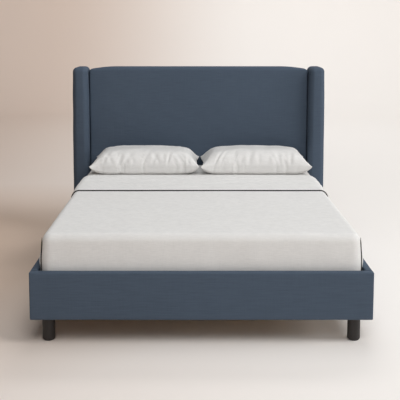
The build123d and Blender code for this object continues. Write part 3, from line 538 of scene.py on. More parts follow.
class BED_OT_frame_finishes(Operator):
    """Gives every CAD node the finish of its material slot"""

    bl_idname = "bed.frame_finishes"
    bl_label = "Frame Finishes"

    def execute(self, context):
        # Sawn pine and birch plywood: the grain runs along a board, so there is one material for each direction
        pine = [timber(f"sawn_pine_along_{axis}", tuple(colours().pine), index) for index, axis in enumerate("xyz")]
        ply = [timber(f"birch_plywood_along_{axis}", linear("#c8ab84"), index, ring=0.03, contrast=0.16)
               for index, axis in enumerate("xyz")]
        finishes = {
            # Zinc-plated steel, electroplated: pale grey with a soft blue cast
            "plated_steel": metal("zinc_plated_steel", linear("#b9bcc1"), grain=0.003, roughness=0.38, metallic=1.0,
                                  depth=0.0001),
            # Black powder coat on mild steel, baked: a fine pebble
            "black_steel": metal("black_powder_coat", linear("#26272a"), grain=0.0015, roughness=0.5, metallic=0.0,
                                 depth=0.0002),
            # Turned beech under satin black paint, brushed: grain shows faintly along the leg
            "black_wood": timber("black_painted_beech", tuple(colours().leg), 2, ring=0.006, contrast=0.22,
                                 roughness=0.55, coat=0.05),
            # Moulded polyethylene glide: dull black
            "glide_plastic": moulded("moulded_polyethylene", linear("#232325"), roughness=0.5, pebble=0.002),
            "upholstery_foam": foam("polyurethane_foam", linear("#e3d6a4"), cell=0.002),
            "mattress_foam": foam("mattress_foam", linear("#efe6cc"), cell=0.002),
            "ticking": quilted_ticking("quilted_cotton_ticking", linear("#e6e3dc"), quilt=0.11),
            # Polyester fibre fill: white and soft
            "pillow_fill": foam("polyester_fibre_fill", linear("#f1f0ee"), cell=0.004),
            # Polypropylene tape, woven: black with a level rib
            "webbing": woven_cloth("polypropylene_webbing", linear("#2a2a2b"), thread=0.0015, slub=0.01,
                                   contrast=0.3, roughness=0.6, sheen=0.1, depth=0.0004),
            "slate_upholstery": slate_linen(),
            "white_linen": white_linen(),
            "dark_piping": dark_piping(),
            "dust_cloth": nonwoven_cloth(),
        }
        grain_axis = {"corner_blocks": 0, "slats": 0, "headboard_posts": 2, "headboard_studs": 2}
        for entry in frame["record"]["subparts"]:
            name, slot = entry["node"], entry["material_slot"]
            low, high = node_box(name)
            axis = grain_axis.get(name, int(np.argmax(high - low)))
            made = {"sawn_timber": pine[axis], "plywood": ply[axis]}.get(slot) or finishes[slot]
            piece = frame["nodes"][name]
            if not piece.material_slots:
                piece.data.materials.append(made)
            for place in piece.material_slots:
                place.material = made
        return {"FINISHED"}


# Operators: upholstery

def boxed_rows(back, front, nose, edge, reach, steps):
    """Rows of a boxed form, from the turn at its back edge along its sides and round its nose, which is nose deep
    and edge wide, to its middle. steps are the spacing on its sides, the rows round the nose and the spacing on its
    face."""
    side_step, nose_rows, face_step = steps
    rows = [(back_turn, back, 0)] + quarter(back_turn, back, 0, back - back_turn, 3)
    rows += straight(0, back - back_turn, front + nose, side_step) + quarter(0, front + nose, edge, front, nose_rows)
    return rows + gathered(edge, front, face_step, reach)


def upholstered(piece, part):
    """Ends the upholstery of a part: its cloth, and the CAD cover and foam that it stands for."""
    finished(piece, "bed_frame", "slate_upholstery", slate_linen(), f"{part}_cover", f"{part}_foam")


class BED_OT_headboard(Operator):
    """Upholsters the headboard's panel: tight cloth over foam, with a soft front edge and a slight crown"""

    bl_idname = "bed.headboard"
    bl_label = "Headboard"

    def execute(self, context):
        half, bottom, top = panel_high[0], panel_low[2], panel_high[2]
        back, front = panel_high[1], panel_low[1]
        # The top droops by drop over a run at each end, on a long arc, to a round corner
        edge, run, drop, sharp, corner, droop = 0.027, 0.13, 0.018, 0.003, 0.022, 0.95
        loop, normals = outline((
            (-half, bottom, sharp), (half, bottom, sharp), (half, top - drop, corner),
            (half - run, top, droop), (-half + run, top, droop), (-half, top - drop, corner),
        ), 0.014)
        # The wings press on the panel's sides, where its front edge is rounded less than along its top
        pressed = 0.4
        weight = smooth_step(loop[:, 1], bottom + 0.002, bottom + 0.06)
        weight = weight * (pressed + (1 - pressed) * smooth_step(half - np.abs(loop[:, 0]), 0.02, 0.16))
        middle, reach = (bottom + top) / 2, (top - bottom) / 2
        spine = np.column_stack((np.clip(loop[:, 0], reach - half, half - reach), np.full(len(loop), middle)))
        spine[:, 0] = on_lattice(spine[:, 0])
        # The cloth is tacked down on the back, this far in from its edge
        flap = 0.06 / reach
        rows = [(back_turn, back, flap), (back_turn, back, flap / 2)]
        rows += boxed_rows(back, front, edge, edge, reach, (0.02, 9, 0.016))
        face = wrapped(loop, normals, rows, (0, 2, 1), spine, weight)
        piece = new_piece("headboard_upholstery", [(face, True)], (0, (back + front) / 2, middle))

        def swell(points, n):
            """The crown is (1 - u^4) * (1 - v^4) over the face, with a trace of unevenness in the foam."""
            u, v = points[:, 0] / half, (points[:, 2] - middle) / reach
            crown = (1 - u ** 4).clip(0) * (1 - v ** 4).clip(0) * smooth_step(-n[:, 1], 0.8, 1)
            soft = ripple(points, 11, wavelength=0.34, height=0.0008, grain=(0.7, 1, 1.2))
            soft = soft + ripple(points, 12, wavelength=0.09, height=0.0004, grain=(0.6, 1, 1.3))
            return sizes().panel_crown * crown + soft * smooth_step(back - points[:, 1], 0.01, 0.05)

        relief(piece, swell)
        wall(piece, sizes().cloth_wall)
        upholstered(piece, "headboard")
        return {"FINISHED"}


class BED_OT_wings(Operator):
    """Upholsters the two wings: boxed foam with soft front edges, drawn in a little towards the top"""

    bl_idname = "bed.wings"
    bl_label = "Wings"

    def execute(self, context):
        near, far = wing_low[0], wing_high[0]
        bottom, top = wing_low[2], wing_high[2]
        back, front = wing_high[1], wing_low[1]
        # Both sides are drawn in at the top, on long arcs, the outer one from 0.5 m and the inner one from 0.17 m
        # below it
        edge, nose, draw, sharp, crest = 0.033, 0.046, 0.006, 0.003, 0.034
        loop, normals = outline((
            (near, bottom, sharp), (far, bottom, sharp), (far, top - 0.5, 8.0), (far - draw, top, crest),
            (near + draw, top, crest), (near, top - 0.17, 1.6),
        ), 0.012)
        reach, middle = (far - near) / 2, (far + near) / 2
        # The bottom stays flat: there the inset only draws the sides in
        low = loop[:, 1] < bottom + 0.004
        normals = np.where(low[:, None], np.column_stack(((loop[:, 0] - middle) / reach, 0 * loop[:, 0])), normals)
        spine = np.column_stack((np.full(len(loop), middle), np.clip(loop[:, 1], bottom + reach, top - reach)))
        spine[:, 1] = on_lattice(spine[:, 1])
        rows = gathered(back_turn, back, 0.02, reach, inward=False)
        rows += boxed_rows(back, front, nose, edge, reach, (0.012, 10, 0.01))
        right = wrapped(loop, normals, rows, (0, 2, 1), spine)
        crown = sizes().wing_crown
        for side, sign in (("left", -1), ("right", 1)):
            piece = new_piece(f"wing_{side}_upholstery", [(right * np.array((sign, 1, 1)), True)],
                              (sign * middle, (back + front) / 2, (bottom + top) / 2))

            def swell(points, n):
                """Foam swells each broad face as a half sine between its edges, and stays flat at the panel."""
                outward = n[:, 0] * sign
                depth = np.clip((points[:, 1] - front - nose) / (back - front - nose), 0, 1)
                outer = np.sin(np.pi * depth) * smooth_step(outward, 0.7, 0.95)
                depth = np.clip((points[:, 1] - front - nose) / (panel_low[1] - front - nose), 0, 1)
                inner = np.sin(np.pi * depth) * smooth_step(-outward, 0.7, 0.95)
                face = (1 - ((points[:, 0] * sign - middle) / reach) ** 2).clip(0) * smooth_step(-n[:, 1], 0.8, 1)
                upright = smooth_step(points[:, 2], bottom, bottom + 0.1) * smooth_step(top - points[:, 2], 0, 0.1)
                joint = smooth_step(points[:, 1], panel_low[1] - 0.03, panel_low[1]) * (outward < 0)
                soft = ripple(points, 21 + sign, wavelength=0.22, height=0.0006, grain=(1, 0.8, 1.1)) * (1 - joint)
                return crown * (outer + 0.6 * inner + 1.6 * face) * upright + soft

            relief(piece, swell)
            upholstered(piece, f"wing_{side}")
        return {"FINISHED"}


def board_section(inner, outer, bottom, top, crown, flap=None):
    """The section of cloth round a board. With a flap it is open on the inner face, where it starts and ends that
    far from the edges. The outer face swells by crown as a half sine."""
    edge, step = 0.007, 0.01
    corners = [(inner, bottom, edge), (outer, bottom, edge), (outer, top, edge), (inner, top, edge)]
    if flap:
        corners = [(inner, bottom + flap, 0)] + corners + [(inner, top - flap, 0)]
    path, normals = outline(corners, step, closed=not flap)
    if outer < inner:
        normals = -normals
    tall = np.clip((path[:, 1] - bottom) / (top - bottom), 0, 1)
    swell = crown * np.sin(np.pi * tall) * np.isclose(path[:, 0], outer)
    return path + normals * swell[:, None], normals


class BED_OT_rails(Operator):
    """Upholsters the side rails and the footboard: cloth wrapped round padded boards and turned over inside"""

    bl_idname = "bed.rails"
    bl_label = "Rails and Footboard"

    def execute(self, context):
        flap = 0.045
        path, normals = board_section(rail_low[0], rail_high[0], rail_low[2], rail_high[2], 0.001, flap)
        rows = [(0, rail_low[1], 0)] + straight(0, rail_low[1], rail_high[1], 0.012)
        right = wrapped(path, normals, rows, (0, 2, 1))
        for side, sign in (("left", -1), ("right", 1)):
            centre = (sign * (rail_low[0] + rail_high[0]) / 2, 0, (rail_low[2] + rail_high[2]) / 2)
            piece = new_piece(f"side_rail_{side}_upholstery", [(right * np.array((sign, 1, 1)), False)], centre)
            relief(piece, lambda points, n: ripple(points, 31 + sign, wavelength=0.16, height=0.0004,
                                                   grain=(1, 0.6, 1)))
            wall(piece, sizes().cloth_wall)
            upholstered(piece, f"side_rail_{side}")

        inner, outer, bottom, top, end = foot_high[1], foot_low[1], foot_low[2], foot_high[2], foot_high[0]
        rim, half = 0.006, (inner - outer) / 2
        path, normals = board_section(inner, outer, bottom, top, 0.0012, flap)
        around, around_normals = board_section(inner, outer, bottom, top, 0.0012)
        spine = np.column_stack((np.full(len(around), (inner + outer) / 2),
                                 np.clip(around[:, 1], bottom + half, top - half)))
        spine[:, 1] = on_lattice(spine[:, 1], 0.01)
        grids = [(wrapped(path, normals, [(0, rim - end, 0)] + straight(0, rim - end, end - rim, 0.012), (1, 2, 0)),
                  False)]
        for sign in (-1, 1):
            rows = [(0, sign * (end - rim), 0)] + quarter(0, sign * (end - rim), rim, sign * end, 4)
            rows += gathered(rim, sign * end, 0.007, half - rim)
            grids.append((wrapped(around, around_normals, rows, (1, 2, 0), spine), True))
        piece = new_piece("footboard_upholstery", grids, (0, (inner + outer) / 2, (bottom + top) / 2))
        relief(piece, lambda points, n: ripple(points, 33, wavelength=0.2, height=0.0005, grain=(0.6, 1, 1))
               * smooth_step(end - np.abs(points[:, 0]), 0, 0.03))
        wall(piece, sizes().cloth_wall)
        upholstered(piece, "footboard")
        return {"FINISHED"}


class BED_OT_underside_cloth(Operator):
    """Tacks the dust cloth over the headboard's back and runs the webbing under the slats"""

    bl_idname = "bed.underside_cloth"
    bl_label = "Dust Cloth and Webbing"

    def execute(self, context):
        lap, lift, slack, turned_under = 0.012, 0.0012, 0.0022, 0.01
        x = np.linspace(dust_low[0] - lap, dust_high[0] + lap, 96)
        z = np.linspace(dust_low[2] - lap, dust_high[2] + lap, 70)
        across, up = np.meshgrid(x, z)
        inside = np.minimum.reduce((across - x[0], x[-1] - across, up - z[0], z[-1] - up))
        cloth_points = np.stack((across, np.full(across.shape, dust_high[1]), up), axis=-1)
        wave = ripple(cloth_points.reshape(-1, 3), 41, wavelength=0.2, height=0.0006).reshape(across.shape)
        cloth_points[:, :, 1] += lift + (wave - slack) * smooth_step(inside, lap, lap + 0.1)
        cloth = new_piece("headboard_dust_sheet", [(cloth_points, False)], (0, 0, 0.6))
        wall(cloth, 0.0006)
        finished(cloth, "bed_frame", "dust_cloth", nonwoven_cloth(), "headboard_dust_cloth")

        # Staples every 60 mm round the cloth's edge, each a bent wire 10 mm long
        inset, pitch = 0.006, 0.06
        level, upright = (np.arange(run[0] + pitch / 2, run[-1] - pitch / 3, pitch) for run in (x, z))
        places = [(a, b, 0) for a in level for b in (z[0] + inset, z[-1] - inset)]
        places += [(a, b, 1) for b in upright for a in (x[0] + inset, x[-1] - inset)]
        wire = np.array(((-0.005, -0.001, 0), (-0.005, 0.0006, 0), (0.005, 0.0006, 0), (0.005, -0.001, 0)))
        staples = []
        for a, b, turned in places:
            along = wire[:, (2, 1, 0)] if turned else wire
            staples.append((tube(along + np.array((a, dust_high[1] + lift + 0.0004, b)), 0.0006, 5), True))
        tacks = new_piece("dust_sheet_staples", staples)
        finished(tacks, "bed_frame", "plated_steel", bpy.data.materials["zinc_plated_steel"])

        width, half_thick, sag, slat_pitch = 0.03, 0.00075, 0.0006, 0.148
        y = np.append(np.arange(webbing_low[1], webbing_high[1], 0.02), webbing_high[1])
        u = np.linspace(0, 2 * np.pi, 28, endpoint=False)
        flat = np.column_stack((width / 2 * np.sign(np.cos(u)) * np.abs(np.cos(u)) ** 0.35,
                                half_thick * np.sign(np.sin(u)) * np.abs(np.sin(u)) ** 0.5))
        bands = []
        for centre in (webbing_low[0] + width / 2, webbing_high[0] - width / 2):
            ring = np.empty((len(y), len(u), 3))
            ring[:, :, 0], ring[:, :, 1] = centre + flat[None, :, 0], y[:, None]
            droop = sag * np.abs(np.sin(np.pi * (y - webbing_low[1]) / slat_pitch))
            ring[:, :, 2] = webbing_high[2] - 0.0008 + flat[None, :, 1] - droop[:, None]
            caps = [np.repeat(row.mean(axis=0)[None, None], len(u), axis=1) for row in (ring[0], ring[-1])]
            bands.append((np.concatenate((caps[0], ring, caps[1])), True))
        webbing = new_piece("slat_webbing_tapes", bands)
        finished(webbing, "bed_frame", "webbing", bpy.data.materials["polypropylene_webbing"], "slat_webbing")
        return {"FINISHED"}


# Operators: bedding

def plan(grow):
    """The mattress's outline from above, grown by an offset."""
    low, high, corner = ticking_low - grow, ticking_high + grow, mattress_corner + grow
    return outline((
        (low[0], low[1], corner), (high[0], low[1], corner), (high[0], high[1], corner), (low[0], high[1], corner),
    ), 0.02)


def mattress_form(grow, bottom_level, underside):
    """Grids of the mattress's form grown by an offset: its sides and round rims, its flat top, and its underside
    where it has one. Without an underside the sides start at bottom_level."""
    loop, normals = plan(grow)
    corner, edge = mattress_corner + grow, mattress_edge + grow
    top, bottom = ticking_high[2] + grow, ticking_low[2]
    rows = [(0, bottom_level, 0)]
    if underside:
        rows = [(corner, bottom, 0), (edge, bottom, 0)] + quarter(edge, bottom, 0, bottom + edge, 6)
        bottom_level = bottom + edge
    rows += straight(0, bottom_level, top - edge, 0.02) + quarter(0, top - edge, edge, top, 8) + [(corner, top, 0)]
    grids = [(wrapped(loop, normals, rows, (0, 1, 2)), True), (level_middle(loop, top), False)]
    if underside:
        grids.append((level_middle(loop, bottom), False))
    return grids


mattress_centre = tuple((ticking_low + ticking_high) / 2)


class BED_OT_mattress(Operator):
    """Makes the mattress with its quilted ticking and a tape edge round its underside"""

    bl_idname = "bed.mattress"
    bl_label = "Mattress"

    def execute(self, context):
        low, high = ticking_low, ticking_high
        piece = new_piece("mattress_cover", mattress_form(0, low[2], True), mattress_centre)
        relief(piece, lambda points, n: ripple(points, 51, wavelength=0.3, height=0.0012)
               * smooth_step(high[2] - points[:, 2], 0.03, 0.08) * smooth_step(points[:, 2], low[2], low[2] + 0.02))
        finished(piece, "mattress", "ticking", bpy.data.materials["quilted_cotton_ticking"],
                 "mattress_ticking", "mattress_comfort_foam", "mattress_base_foam")

        inset, level, tape = 0.0045, 0.019, 0.004
        route = plan(-inset)[0]
        route = np.column_stack((route, np.full(len(route), low[2] + level)))
        edging = new_piece("mattress_tape_edge", [(tube(np.concatenate((route, route[:1])), tape, 10), True)])
        finished(edging, "mattress", "ticking", bpy.data.materials["quilted_cotton_ticking"])
        return {"FINISHED"}


class BED_OT_fitted_sheet(Operator):
    """Stretches the fitted sheet over the mattress, with an elastic hem that draws in"""

    bl_idname = "bed.fitted_sheet"
    bl_label = "Fitted Sheet"

    def execute(self, context):
        hem, above_ticking, tuck, fold = sheet_low[2] - 0.006, 0.0014, 0.0012, 0.021
        piece = new_piece("fitted_sheet_linen", mattress_form(above_ticking, hem, False), mattress_centre)

        def draw(points, n):
            """The elastic gathers the hem into small folds, sin of the way round over 21 mm, which fade upwards."""
            low = 1 - smooth_step(points[:, 2], hem, hem + 0.05)
            run = points[:, 0] * np.sign(n[:, 1]) + points[:, 1] * np.sign(n[:, 0])
            return tuck * low * np.sin(run * 2 * np.pi / fold)

        relief(piece, draw)
        wall(piece, 0.0006)
        finished(piece, "mattress", "white_linen", white_linen(), "fitted_sheet")
        return {"FINISHED"}


sheet_grow = 0.0045
sheet_side = ticking_high[0] + sheet_grow
sheet_foot = ticking_low[1] - sheet_grow
sheet_top = ticking_high[2] + sheet_grow
# Levels where the sheet's sides start to stand out, and where they hang quite free
shoulder_low, side_top = sheet_top - 0.0285, sheet_top - 0.1085
corner_cord_y = (corner_cord_low[1] + corner_cord_high[1]) / 2
layer_gap = 0.0045


def hang(points):
    """Lets the sheet's sides stand out below the shoulder: by 6 mm at the folded foot corner, and by the full
    flare behind the corner's piping, where the fold of the side lies over it. The rails press it in again. The
    turned-down part, with its layers, stands out by up to 10 mm at the shoulder too. Its fold lies closer."""
    foot_flare, cuff_flare, press, drawn_in = 0.006, 0.01, 0.0035, 0.7
    # The shoulder rises by rise over the half metre behind the corner, and slope below it the side is fully out
    rise, slope = 0.015, 0.115
    y, z = points[:, 1], points[:, 2]
    folded = smooth_step(y, corner_cord_y + 0.003, corner_cord_y + 0.01)
    end = 1 - drawn_in * smooth_step(y, sheet_high[1] - 0.1, sheet_high[1])
    shoulder = shoulder_low + rise * smooth_step(y, corner_cord_y, corner_cord_y + 0.5)
    low = smooth_step(shoulder - z, 0, slope)
    out = foot_flare * low * (1 - folded) + sizes().sheet_flare * low * folded * end
    out = out - press * smooth_step(rail_high[2] + 0.016 - z, 0, 0.02) * folded * end
    cuff = smooth_step(y, turndown_high[1] - 0.02, turndown_high[1] + 0.14)
    cuff = cuff * smooth_step(z, side_top, sheet_top - mattress_edge - sheet_grow)
    out = out + cuff_flare * cuff * end
    share = smooth_step(np.abs(points[:, 0]), sheet_side - 0.05, sheet_side)
    moved = points.copy()
    moved[:, 0] += np.sign(points[:, 0]) * out * share
    return moved


def sheet_sides(hem, step):
    """Rows of the flat sheet from its hem up over the shoulder to where its flat top starts."""
    edge = mattress_edge + sheet_grow
    rows = [(0, hem, 0)] + straight(0, hem, sheet_top - edge, step)
    return rows + quarter(0, sheet_top - edge, edge, sheet_top, 8) + [(mattress_corner + sheet_grow, sheet_top, 0)]


def sheet_plan(step):
    """The flat sheet's outline from above, open at the fold: down one side, round the foot and up the other, with
    extra samples where the fold of the side starts."""
    fold, corner = sheet_high[1] - layer_gap / 2, mattress_corner + sheet_grow
    marks = corner_cord_y + np.array((0.018, 0.011, 0.007, 0.003, -0.001))
    left = [(-sheet_side, fold, 0)] + [(-sheet_side, mark, 0) for mark in marks]
    right = [(-x, y, r) for x, y, r in left[::-1]]
    return outline(left + [(-sheet_side, sheet_foot, corner), (sheet_side, sheet_foot, corner)] + right, step,
                   closed=False)


def across_bed(rows, loop):
    """The flat sheet's section across the bed, from hem to hem, and its outward normals: x and level of the side's
    rows, with the flat top's own samples between the two sides."""
    side = np.array([(inset - sheet_side, level) for inset, level, _ in rows])
    x = np.sort(loop[np.isclose(loop[:, 1], sheet_foot), 0])[1:-1]
    section = np.concatenate((side, np.column_stack((x, np.full(len(x), sheet_top))), side[::-1] * (-1, 1)))
    tangent = np.gradient(section, axis=0)
    tangent /= np.linalg.norm(tangent, axis=1, keepdims=True)
    return section, np.column_stack((-tangent[:, 1], tangent[:, 0]))


class BED_OT_flat_sheet(Operator):
    """Lays the flat sheet over the mattress, folds its foot corners and turns its head end down over itself"""

    bl_idname = "bed.flat_sheet"
    bl_label = "Flat Sheet"

    def execute(self, context):
        step, clearance = sizes().grid_step, 0.0003
        rows = sheet_sides(sheet_low[2], step)
        loop, normals = sheet_plan(step)
        under = wrapped(loop, normals, rows, (0, 1, 2))
        section, out = across_bed(rows, loop)
        fold, edge_y = sheet_high[1] - layer_gap / 2, turndown_high[1] + clearance
        turn = np.linspace(0, np.pi, 9)[1:]
        over_rows = [(-layer_gap * share, edge_y, 0) for share in (0.25, 0.6)]
        over_rows += [(-layer_gap, y, 0) for y in np.linspace(edge_y, fold, math.ceil((fold - edge_y) / step) + 1)]
        over_rows += [(-layer_gap / 2 * (1 + math.cos(a)), fold + layer_gap / 2 * math.sin(a), 0) for a in turn]
        over = wrapped(section, out, over_rows, (0, 2, 1))
        piece = new_piece("flat_sheet_linen", [(under, False), (level_middle(loop, sheet_top), False), (over, False)],
                          (0, 0, 0.3))
        set_points(piece.data, hang(points_of(piece.data)))
        relief(piece, self.creases)
        wall(piece, sizes().sheet_wall)
        finished(piece, "mattress", "white_linen", white_linen(), "flat_sheet")
        return {"FINISHED"}

    @staticmethod
    def creases(points, n):
        """Soft level wrinkles in the turned-down part, faint waves elsewhere and upright folds where the sheet
        hangs. Nothing sinks below the sheet beneath, and the turned-down edge lies still."""
        y, z = points[:, 1], points[:, 2]
        flat = smooth_step(n[:, 2], 0.6, 0.95)
        cuff = smooth_step(y, turndown_high[1], turndown_high[1] + 0.03)
        wrinkle = (0.0009 + ripple(points, 71, wavelength=0.08, height=0.0016, grain=(0.22, 1, 1))) * cuff
        broad = 0.0012 + ripple(points, 72, wavelength=0.5, height=0.0014)
        broad = broad + ripple(points, 73, wavelength=0.12, height=0.0005, grain=(0.6, 1, 1))
        hanging = smooth_step(z, rail_high[2] - 0.006, side_top)
        upright = 0.0004 + ripple(points, 74, wavelength=0.14, height=0.0009, grain=(1, 1, 0.25)) * hanging
        still = smooth_step(sheet_high[1] - y, 0.0, 0.04) * (1 - np.exp(-((y - turndown_high[1]) / 0.012) ** 2))
        return ((wrinkle + broad) * flat + upright * (1 - flat)).clip(-0.0006) * still


class BED_OT_piping(Operator):
    """Sews the dark piping along the turned-down edge and down the folded foot corners"""

    bl_idname = "bed.piping"
    bl_label = "Piping"

    def execute(self, context):
        radius, clearance = (turndown_high[1] - turndown_low[1]) / 2, 0.0008
        section, out = across_bed(sheet_sides(sheet_low[2], 0.008), sheet_plan(0.012)[0])
        y = np.full(len(section), turndown_high[1] - radius)
        route = hang(np.column_stack((section[:, 0], y, section[:, 1])))
        route += np.column_stack((out[:, 0], np.zeros(len(out)), out[:, 1])) * (radius + clearance)
        route[:, 1] += ripple(route, 81, wavelength=0.35, height=0.0006)
        cord = new_piece("turndown_cord", [(tube(route, radius), True)])
        finished(cord, "mattress", "dark_piping", dark_piping(), "turndown_piping")

        # Each corner cord narrows over its upper end, where it runs into the fold
        z = np.arange(corner_cord_low[2], corner_cord_high[2] + 0.034, 0.006)
        width = radius * (0.25 + 0.75 * smooth_step(z[-1] - z, 0, 0.03))[:, None, None]
        cords = []
        for sign in (-1, 1):
            line = hang(np.column_stack((np.full(len(z), sign * sheet_side), np.full(len(z), corner_cord_y), z)))
            line[:, 0] += sign * (radius * 0.9 + clearance)
            cords.append((tube(line, width), True))
        corner = new_piece("corner_cords", cords)
        finished(corner, "mattress", "dark_piping", dark_piping(), "corner_piping")
        return {"FINISHED"}


def crease_lines(along, reach, seed, count):
    """Creases that run in from a sewn edge. Each is a valley with raised flanks, -(1 - 2t^2) * exp(-t^2), where t
    is the distance from its own leaning line over its width, and fades with reach, the distance from the edge."""
    rng = np.random.default_rng(seed)
    place = (np.arange(count) + rng.uniform(0.15, 0.85, count)) / count * 1.7 - 0.85
    width, lean = rng.uniform(0.028, 0.058, count), rng.uniform(-0.3, 0.3, count)
    deep, fade = rng.uniform(0.35, 1, count), rng.uniform(0.22, 0.5, count)
    t = (along[:, None] - place - lean * reach[:, None]) / (width * (1 + 1.5 * reach[:, None]))
    return -((1 - 2 * t * t) * np.exp(-t * t) * deep * np.exp(-(reach[:, None] / fade) ** 2)).sum(axis=1)


class BED_OT_pillows(Operator):
    """Fills the two pillow cases by a cloth simulation, then settles them on the sheet"""

    bl_idname = "bed.pillows"
    bl_label = "Pillows"

    length, depth, thickness = 0.8, 0.505, 0.05

    def execute(self, context):
        for side, seed in (("left", 5), ("right", 9)):
            piece = self.case(side, seed)
            start = points_of(piece.data)
            share = sizes().pillow_plumpness
            filled = self.inflate(piece, start) if share else start
            low, high = node_box(f"pillow_{side}_case")
            # In the photo the left pillow starts a little further in, and both reach a little further right
            low[0], high[0] = low[0] + 0.008 * (side == "left"), high[0] + 0.003
            self.settle(piece, start, filled, share, low, high, seed)
            smooth = piece.modifiers.new("Smooth", "SUBSURF")
            smooth.levels = smooth.render_levels = 1
            finished(piece, f"pillow_{side}", "white_linen", white_linen(),
                     f"pillow_{side}_case", f"pillow_{side}_fill")
        return {"FINISHED"}

    def case(self, side, seed):
        """Two panels sewn round their edge: over u and v from -1 to 1, each panel stands up from the seam by
        thickness * ((1 - u^2) * (1 - v^2))^0.5, with slack in it from a seeded ripple. The rows are the sine of an
        even spacing, so that they lie close together at the long seams."""
        u, v = np.meshgrid(np.linspace(-1, 1, 121), np.sin(np.linspace(-np.pi / 2, np.pi / 2, 79)))
        rise = self.thickness * np.sqrt(np.clip((1 - u * u) * (1 - v * v), 0, 1))
        upper = np.stack((u * self.length / 2, v * self.depth / 2, rise), axis=-1)
        slack = 1 + ripple(upper.reshape(-1, 3), seed, wavelength=0.16, height=0.12).reshape(u.shape)
        upper[:, :, 2] *= slack
        return new_piece(f"pillow_{side}_linen_case", [(upper, False), (upper * (1, 1, -1), False)], (0, 0, 0))

    def inflate(self, piece, start):
        """Cloth under pressure with no gravity: the case fills, its seam draws in and its corners stand out. No
        point moves further than a cap."""
        scene = bpy.context.scene
        cloth = piece.modifiers.new("Fill", "CLOTH")
        settings = cloth.settings
        settings.quality = 6
        settings.mass = 0.3
        settings.tension_stiffness = settings.compression_stiffness = 18
        settings.shear_stiffness = 6
        settings.bending_stiffness = 0.4
        settings.use_pressure = True
        settings.uniform_pressure_force = sizes().pillow_pressure
        settings.effector_weights.gravity = 0
        cloth.collision_settings.use_collision = False
        frames = sizes().pillow_frames
        cloth.point_cache.frame_start, cloth.point_cache.frame_end = 1, frames
        for step in range(1, frames + 1):
            scene.frame_set(step)
        move = points_of(piece.evaluated_get(bpy.context.evaluated_depsgraph_get()).data) - start
        piece.modifiers.remove(cloth)
        scene.frame_set(1)
        cap = 0.16
        far = np.linalg.norm(move, axis=1, keepdims=True)
        return start + move * np.minimum(1, cap / np.maximum(far, 1e-9))

    def settle(self, piece, start, filled, share, low, high, seed):
        """Fits the filled case to its place. The lying form rises from its sewn rim as a quarter round from the
        long seams, (t * (2 - t))^0.5, and as a soft ramp from the short ones, to a level crown. It is drawn in
        between its corners, which stand out as ears, and it rounds under to lie flat on the sheet, with a belly
        below the front seam. The settled pillow is share of the filled form and the rest of the lying one, with
        creases run in from the seams."""
        # Creases may stand spare above the crown. The seam lies at one level, and rises by ears at its corners.
        spare, seam, ears = 0.004, 0.053, 0.1
        # Shares of the way in, from the short seams and from the long ones, over which each panel rounds. The lower
        # one rounds sooner in front.
        over_u, over_v, under_u, under_v, sooner = 0.22, 0.6, 0.2, 0.12, 0.04
        # How far the short seams draw in, more at the outer one, and the long ones, and how far the belly stands out
        pull, lean, waist, bulge = 0.019, 0.012, 0.04, 0.009
        length, depth, height = high - low - (0, 0, spare)
        u, v = start[:, 0] / (self.length / 2), start[:, 1] / (self.depth / 2)
        upper = start[:, 2] >= -1e-6
        in_u, in_v = 1 - np.abs(u), 1 - np.abs(v)
        rim = seam * (1 + ears * (u * v) ** 6)
        over = np.clip(in_v / over_v, 0, 1)
        under = np.clip(in_v / (under_v + sooner * np.sign(v)), 0, 1)
        dome = soft_ramp(in_u / over_u) * np.sqrt(over * (2 - over)) * (1 - 0.04 * u * u)
        rest = soft_ramp(in_u / under_u) * np.sqrt(under * (2 - under))
        inner = -np.sign(low[0] + high[0])
        draw = (pull - lean * u * inner) * (1 - v * v)
        belly = bulge * np.sin(np.pi * under) * (v < 0) * ~upper
        lying = np.column_stack((u * length / 2 * (1 - draw), v * depth / 2 * (1 - waist * (1 - u * u)) - belly,
                                 np.where(upper, rim + (height - rim) * dome, rim * (1 - rest))))
        size = np.ptp(filled, axis=0)
        plump = filled * np.array((length, depth, 1)) / np.array((size[0], size[1], 1))
        z = plump[:, 2]
        plump[:, 2] = np.where(upper, rim + (height - rim) * z / z.max(),
                               rim * (1 - soft_ramp(-z / max(-z.min(), 1e-9) * 4)))
        points = lying + (plump - lying) * share
        points += np.append((low + high)[:2] / 2, low[2])
        set_points(piece.data, points)

        def wrinkle(points, n):
            """Creases on the upper panel, deepest along the long edges, with a soft unevenness all over."""
            # For the front, back, right and left seams: depth, place along it, distance from it, number of creases
            seams = ((0.0052, u, 1 + v, 11), (0.0045, u, 1 - v, 9), (0.003, v, 1 - u, 5), (0.003, v, 1 + u, 5))
            deep = sum(depth * crease_lines(along, reach, seed + index, count)
                       for index, (depth, along, reach, count) in enumerate(seams))
            soft = ripple(points, seed + 4, wavelength=0.13, height=0.0016) * smooth_step(in_u * in_v, 0, 0.3)
            return (deep * smooth_step(in_u, 0, 0.08) * smooth_step(in_v, -0.02, 0.1) + soft) * upper

        relief(piece, wrinkle)
        points = points_of(piece.data)
        points[:, 2] = np.clip(points[:, 2], low[2], high[2] + spare)
        set_points(piece.data, points)


# Operator: the stage

